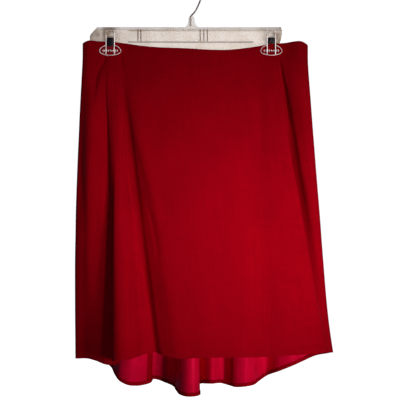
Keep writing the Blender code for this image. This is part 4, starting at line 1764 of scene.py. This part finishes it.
    def marks(self, mesh: bpy.types.Mesh, face_y: float | None) -> Array:
        """Tell the flat faces of a clear piece from its edges and ribs.

        Args:
            mesh: its mesh.
            face_y: distance in mm of the flat faces from the middle, or None for a jaw.

        Returns:
            The value of each face's mark.
        """
        normal, centre = (np.empty(len(mesh.polygons) * 3, dtype=np.float32) for _ in range(2))
        mesh.polygons.foreach_get("normal", normal)
        mesh.polygons.foreach_get("center", centre)
        flat = np.abs(normal.reshape(-1, 3)[:, 1]) > self.flat_from
        place, near = centre.reshape(-1, 3) / MM, self.near
        depth = np.abs(place[:, 1])
        if face_y is None:
            jaw_face = -self.jaw_back()
            level = (depth > jaw_face - near) & (depth < jaw_face + self.jaw_plate + near)
            return np.where(flat & level, Mark.FLAT.value, Mark.EDGE.value).astype(np.float32)
        level, proud = depth < face_y + near, depth > face_y + near
        marks = np.where(flat & level, Mark.FLAT.value, Mark.EDGE.value).astype(np.float32)
        for x in self.upright_ribs_x:
            on_rib = np.abs(place[:, 0] - x) < self.upright_rib_width / 2 + near
            marks[on_rib & proud & (place[:, 2] < self.flange_z[0])] = Mark.UPRIGHT_RIB.value
        low, high = self.lower_rib_z
        on_rib = (place[:, 2] > low - 2 * near) & (place[:, 2] < high + 2 * near)
        within = np.abs(place[:, 0]) < self.lower_rib_x[1] + 2
        marks[on_rib & proud & within] = Mark.LOWER_RIB.value
        return marks

    def make_spring(self, side: str, x: float, end_z: float) -> bpy.types.Object:
        """Bend a steel strip over through both windows.

        Args:
            side: left or right.
            x: middle of the clip.
            end_z: lower end of its front leg.

        Returns:
            The spring.
        """
        front = self.jaw_back() - self.jaw_plate - self.gap - self.spring_strip / 2
        rear = self.web / 2 + self.gap + self.spring_strip / 2
        top, bend = sum(self.window_z) / 2, self.spring_bend
        quarter = [(math.cos(a), math.sin(a)) for a in np.radians(np.linspace(0, 90, 7))]
        middle = [(front, end_z), (front, top - bend)]
        middle += [(front + bend - bend * c, top - bend + bend * s) for c, s in quarter[1:]]
        middle += [(rear - bend + bend * c, top - bend + bend * s) for c, s in quarter[::-1]]
        middle.append((rear, self.spring_rear_end_z))
        path = np.array(middle)
        along = unit(np.gradient(path, axis=0))
        aside = np.stack([-along[:, 1], along[:, 0]], axis=1) * self.spring_strip / 2
        outline = [tuple(p) for p in path + aside] + [tuple(p) for p in (path - aside)[::-1]]
        half = self.spring_width / 2
        mesh = prism(outline, x - half, x + half, 0.15, plane="yz")
        mesh.name = f"clip_spring_{side}_steel"
        coat(mesh, self.steel, sharp=True)
        piece = add_piece(mesh.name, mesh)
        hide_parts(f"clip_spring_{side}")
        return piece

    def make_hook(self) -> bpy.types.Object:
        """Bend the wire from the boss to the right and round over the rail.

        Returns:
            The hook.
        """
        upright = [(self.wire_x, z) for z in self.wire_upright_z]
        rise = smooth_path([*upright, *self.wire_bend], 4)
        centre_z = -(self.hook_radius - self.wire_radius)
        start = math.degrees(math.asin((self.loop_from_z - centre_z) / self.hook_radius))
        loop = [(self.hook_radius * math.cos(a), centre_z + self.hook_radius * math.sin(a))
                for a in np.radians(np.linspace(start, self.loop_to_angle, 60))]
        path = np.array([(a, 0.0, b) for a, b in [*map(tuple, rise), *loop]])
        mesh = tube(path, self.wire_radius, 14)
        mesh.name = "hanger_hook_wire"
        coat(mesh, self.wire)
        piece = add_piece(mesh.name, mesh)
        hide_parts("hanger_hook")
        return piece

    def build(self) -> list[bpy.types.Object]:
        """Make every piece of the hanger.

        Returns:
            The pieces.
        """
        made = [self.make_bar(), self.make_hook()]
        for side, x, end_z in zip(("left", "right"), self.clips_x, self.spring_front_ends_z):
            made += [self.make_jaw(side, x), self.make_spring(side, x, end_z)]
        return made


# ---------------------------------------------------------------- studio
class Lamp(NamedTuple):
    """A square lamp, with its place and side in metres and its power in watts.

    only is the start of the names of the pieces that it lights, or nothing for all.
    """

    name: str
    place: tuple[float, float, float]
    side: float
    power: float
    only: str = ""


class Beam(NamedTuple):
    """A soft-edged round beam, in metres, watts and degrees."""

    name: str
    place: tuple[float, float, float]
    radius: float
    power: float
    angle: float


@dataclass
class Studio:
    """Floor, backdrop, lights and camera, in metres."""

    floor_z: float = -1.3
    wall_y: float = 2.9
    wall_top_z: float = 2.6
    half_width: float = 3.2
    near_y: float = -3.0
    curve: float = 0.6
    camera_at: tuple[float, float, float] = (0.0316, -1.2, -0.4195)
    lens: float = 56.13
    sensor: float = 36.0
    beam_target: tuple[float, float, float] = (0.09, 0.0, -0.475)
    lamp_target: tuple[float, float, float] = (0.03, 0.0, -0.42)
    beams: tuple[Beam, ...] = (
        Beam("key", (1.9, -3.3, -0.55), 0.27, 358.0, 13.2),
        Beam("key_beside", (2.4, -3.0, -0.55), 0.27, 358.0, 13.2),
    )
    lamps: tuple[Lamp, ...] = (
        Lamp("fill", (0.5, -2.0, -0.6), 1.2, 1.2),
        Lamp("left_fill", (-0.9, -2.2, -0.5), 1.0, 3.0, only="front_panel"),
        Lamp("inside_light", (1.0, -1.6, -0.9), 0.4, 2.5, only="back_right"),
        Lamp("hanger_light", (0.2, -1.5, 0.25), 0.8, 8.0, only="hanger_"),
        Lamp("clip_light", (0.2, -1.5, 0.25), 0.8, 22.0, only="clip_jaw"),
        Lamp("back_right", (0.9, 1.7, 0.1), 0.9, 16.0),
        Lamp("back_left", (-1.5, 1.3, 0.2), 0.9, 6.0),
    )
    world_colour: Colour = (0.8, 0.8, 1.6)
    world_light: float = 0.035
    world_seen: float = 0.95

    def backdrop(self, paper: bpy.types.Material) -> bpy.types.Object:
        """Make the floor that curves up into a wall.

        Args:
            paper: its finish.

        Returns:
            The floor.
        """
        turn = [(self.wall_y - self.curve + self.curve * math.sin(a),
                 self.floor_z + self.curve - self.curve * math.cos(a))
                for a in np.radians(np.linspace(0, 90, 12))]
        profile = [(self.near_y, self.floor_z), *turn, (self.wall_y, self.wall_top_z)]
        points = [(x, y, z) for y, z in profile for x in (-self.half_width, self.half_width)]
        faces = [(2 * i, 2 * i + 1, 2 * i + 3, 2 * i + 2) for i in range(len(profile) - 1)]
        mesh = bpy.data.meshes.new("studio_floor")
        mesh.from_pydata(points, [], faces)
        coat(mesh, paper)
        floor = loose_object("studio_floor", mesh)
        floor.visible_diffuse = False
        floor.visible_glossy = False
        return floor

    @staticmethod
    def stand(name: str, light: bpy.types.Light, place: tuple[float, float, float],
              target: tuple[float, float, float]) -> bpy.types.Object:
        """Stand a light somewhere and aim it.

        Args:
            name: its name.
            light: what shines.
            place: where it stands.
            target: what it is aimed at.

        Returns:
            The light's object.
        """
        holder = loose_object(name, light)
        holder.location = place
        aim = Vector(target) - Vector(place)
        holder.rotation_euler = aim.to_track_quat("-Z", "Y").to_euler()
        return holder

    def light_beam(self, beam: Beam) -> None:
        """Light one beam.

        Args:
            beam: the beam.
        """
        light = bpy.data.lights.new(beam.name, "SPOT")
        light.shadow_soft_size = beam.radius
        light.energy = beam.power
        light.spot_size = math.radians(beam.angle)
        light.spot_blend = 1.0
        self.stand(beam.name, light, beam.place, self.beam_target)

    def light_lamp(self, lamp: Lamp) -> None:
        """Light one square lamp.

        Args:
            lamp: the lamp.
        """
        light = bpy.data.lights.new(lamp.name, "AREA")
        light.size = lamp.side
        light.energy = lamp.power
        holder = self.stand(lamp.name, light, lamp.place, self.lamp_target)
        if lamp.only:
            lit = bpy.data.collections.new(lamp.name)
            for piece in bpy.context.scene.collection.objects:
                if piece.name.startswith(lamp.only):
                    lit.objects.link(piece)
            holder.light_linking.receiver_collection = lit

    def world(self) -> None:
        """Make pale surroundings that light the skirt less than they look."""
        world = bpy.data.worlds.new("studio")
        bpy.context.scene.world = world
        world.use_nodes = True
        kit = NodeKit(world.node_tree)
        path = kit.node("ShaderNodeLightPath")
        dim = kit.node("ShaderNodeBackground", None, {"Color": opaque(self.world_colour),
                                                      "Strength": self.world_light})
        pale = kit.node("ShaderNodeBackground", None, {"Color": opaque((1.0, 1.0, 1.0)),
                                                       "Strength": self.world_seen})
        both = kit.node("ShaderNodeMixShader", None, {0: path.outputs["Is Camera Ray"],
                                                      1: dim.outputs[0], 2: pale.outputs[0]})
        kit.node("ShaderNodeOutputWorld", None, {"Surface": both.outputs[0]})

    def camera(self) -> None:
        """Set the camera, level and square to the front."""
        data = bpy.data.cameras.new("camera")
        data.lens = self.lens
        data.sensor_width = self.sensor
        data.clip_start = 0.01
        holder = loose_object("camera", data)
        holder.location = self.camera_at
        holder.rotation_euler = (math.radians(90), 0.0, 0.0)
        bpy.context.scene.camera = holder

    def build(self, paper: bpy.types.Material) -> None:
        """Set the whole studio.

        Args:
            paper: finish of the backdrop.
        """
        self.backdrop(paper)
        for beam in self.beams:
            self.light_beam(beam)
        for lamp in self.lamps:
            self.light_lamp(lamp)
        self.world()
        self.camera()
        bpy.context.scene.view_settings.view_transform = "Standard"


# ---------------------------------------------------------------- everything in order
@dataclass
class WaistTack:
    """Small thread tack that stands on the waist edge at its middle, in mm."""

    place: tuple[float, float, float] = (10.5, CLIP_PLANE_Y - 10.9, -130.5)
    half_width: float = 1.2
    half_height: float = 0.8
    thread: float = 0.32
    loops: tuple[tuple[float, float], ...] = ((0.0, 1.0), (1.1, 0.6), (2.2, 1.3))

    def build(self, thread: bpy.types.Material) -> bpy.types.Object:
        """Wind the tack's loops, each turned and raised as loops says.

        Args:
            thread: finish of the thread.

        Returns:
            The tack.
        """
        x, y, z = self.place
        a = np.linspace(0, 2 * math.pi, 14, endpoint=False)
        wound = [tube(np.stack([x + self.half_width * np.cos(a) * math.cos(turn),
                                y + self.half_height * np.sin(a + turn),
                                z + rise + self.half_height * np.sin(a)], axis=-1),
                      self.thread, 6, closed=True) for turn, rise in self.loops]
        mesh = joined(wound, "waist_tack")
        coat(mesh, thread)
        piece = add_piece("waist_tack", mesh)
        return piece


def write_sizes() -> None:
    """Bring the view layer up to date."""
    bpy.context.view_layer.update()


def main() -> None:
    """Build the skirt, the hanger and the studio in order."""
    logging.basicConfig(level=logging.INFO, format="%(message)s")
    form = SkirtForm()
    crepe = CrepeFinish("red_crepe_outside").material()
    satin = SatinFinish("red_satin_inside").material()
    thread = ThreadFinish("red_thread").material()
    hanger = ClipHanger(
        clear=ClearPlasticFinish("clear_bar").material(),
        # The jaws show only at their rims, in a whitish edge colour: a painted highlight.
        jaw_clear=ClearPlasticFinish("clear_jaw", colour=(0.9, 0.8, 0.74), edge=(1.0, 0.82, 0.8),
                                     face_alpha=0.0, edge_alpha=0.85, cloudy=0.06,
                                     darker_ends=0.0).material(),
        steel=SteelFinish("dark_spring").material(),
        wire=SteelFinish("hook_steel", colour=(0.13, 0.09, 0.07), worn=(0.3, 0.25, 0.21),
                         roughness=0.3, lines=(900.0, 900.0, 40.0)).material(),
    )
    hanger.build()
    for panel in PANELS:
        piece = CutPanel(form, panel).build(crepe, satin)
    Sewing(form).build(thread)
    WaistTack().build(ThreadFinish("dark_thread", colour=(0.05, 0.002, 0.004)).material())
    Studio().build(BackdropFinish("studio_paper").material())
    write_sizes()


if __name__ == "__main__":
    main()
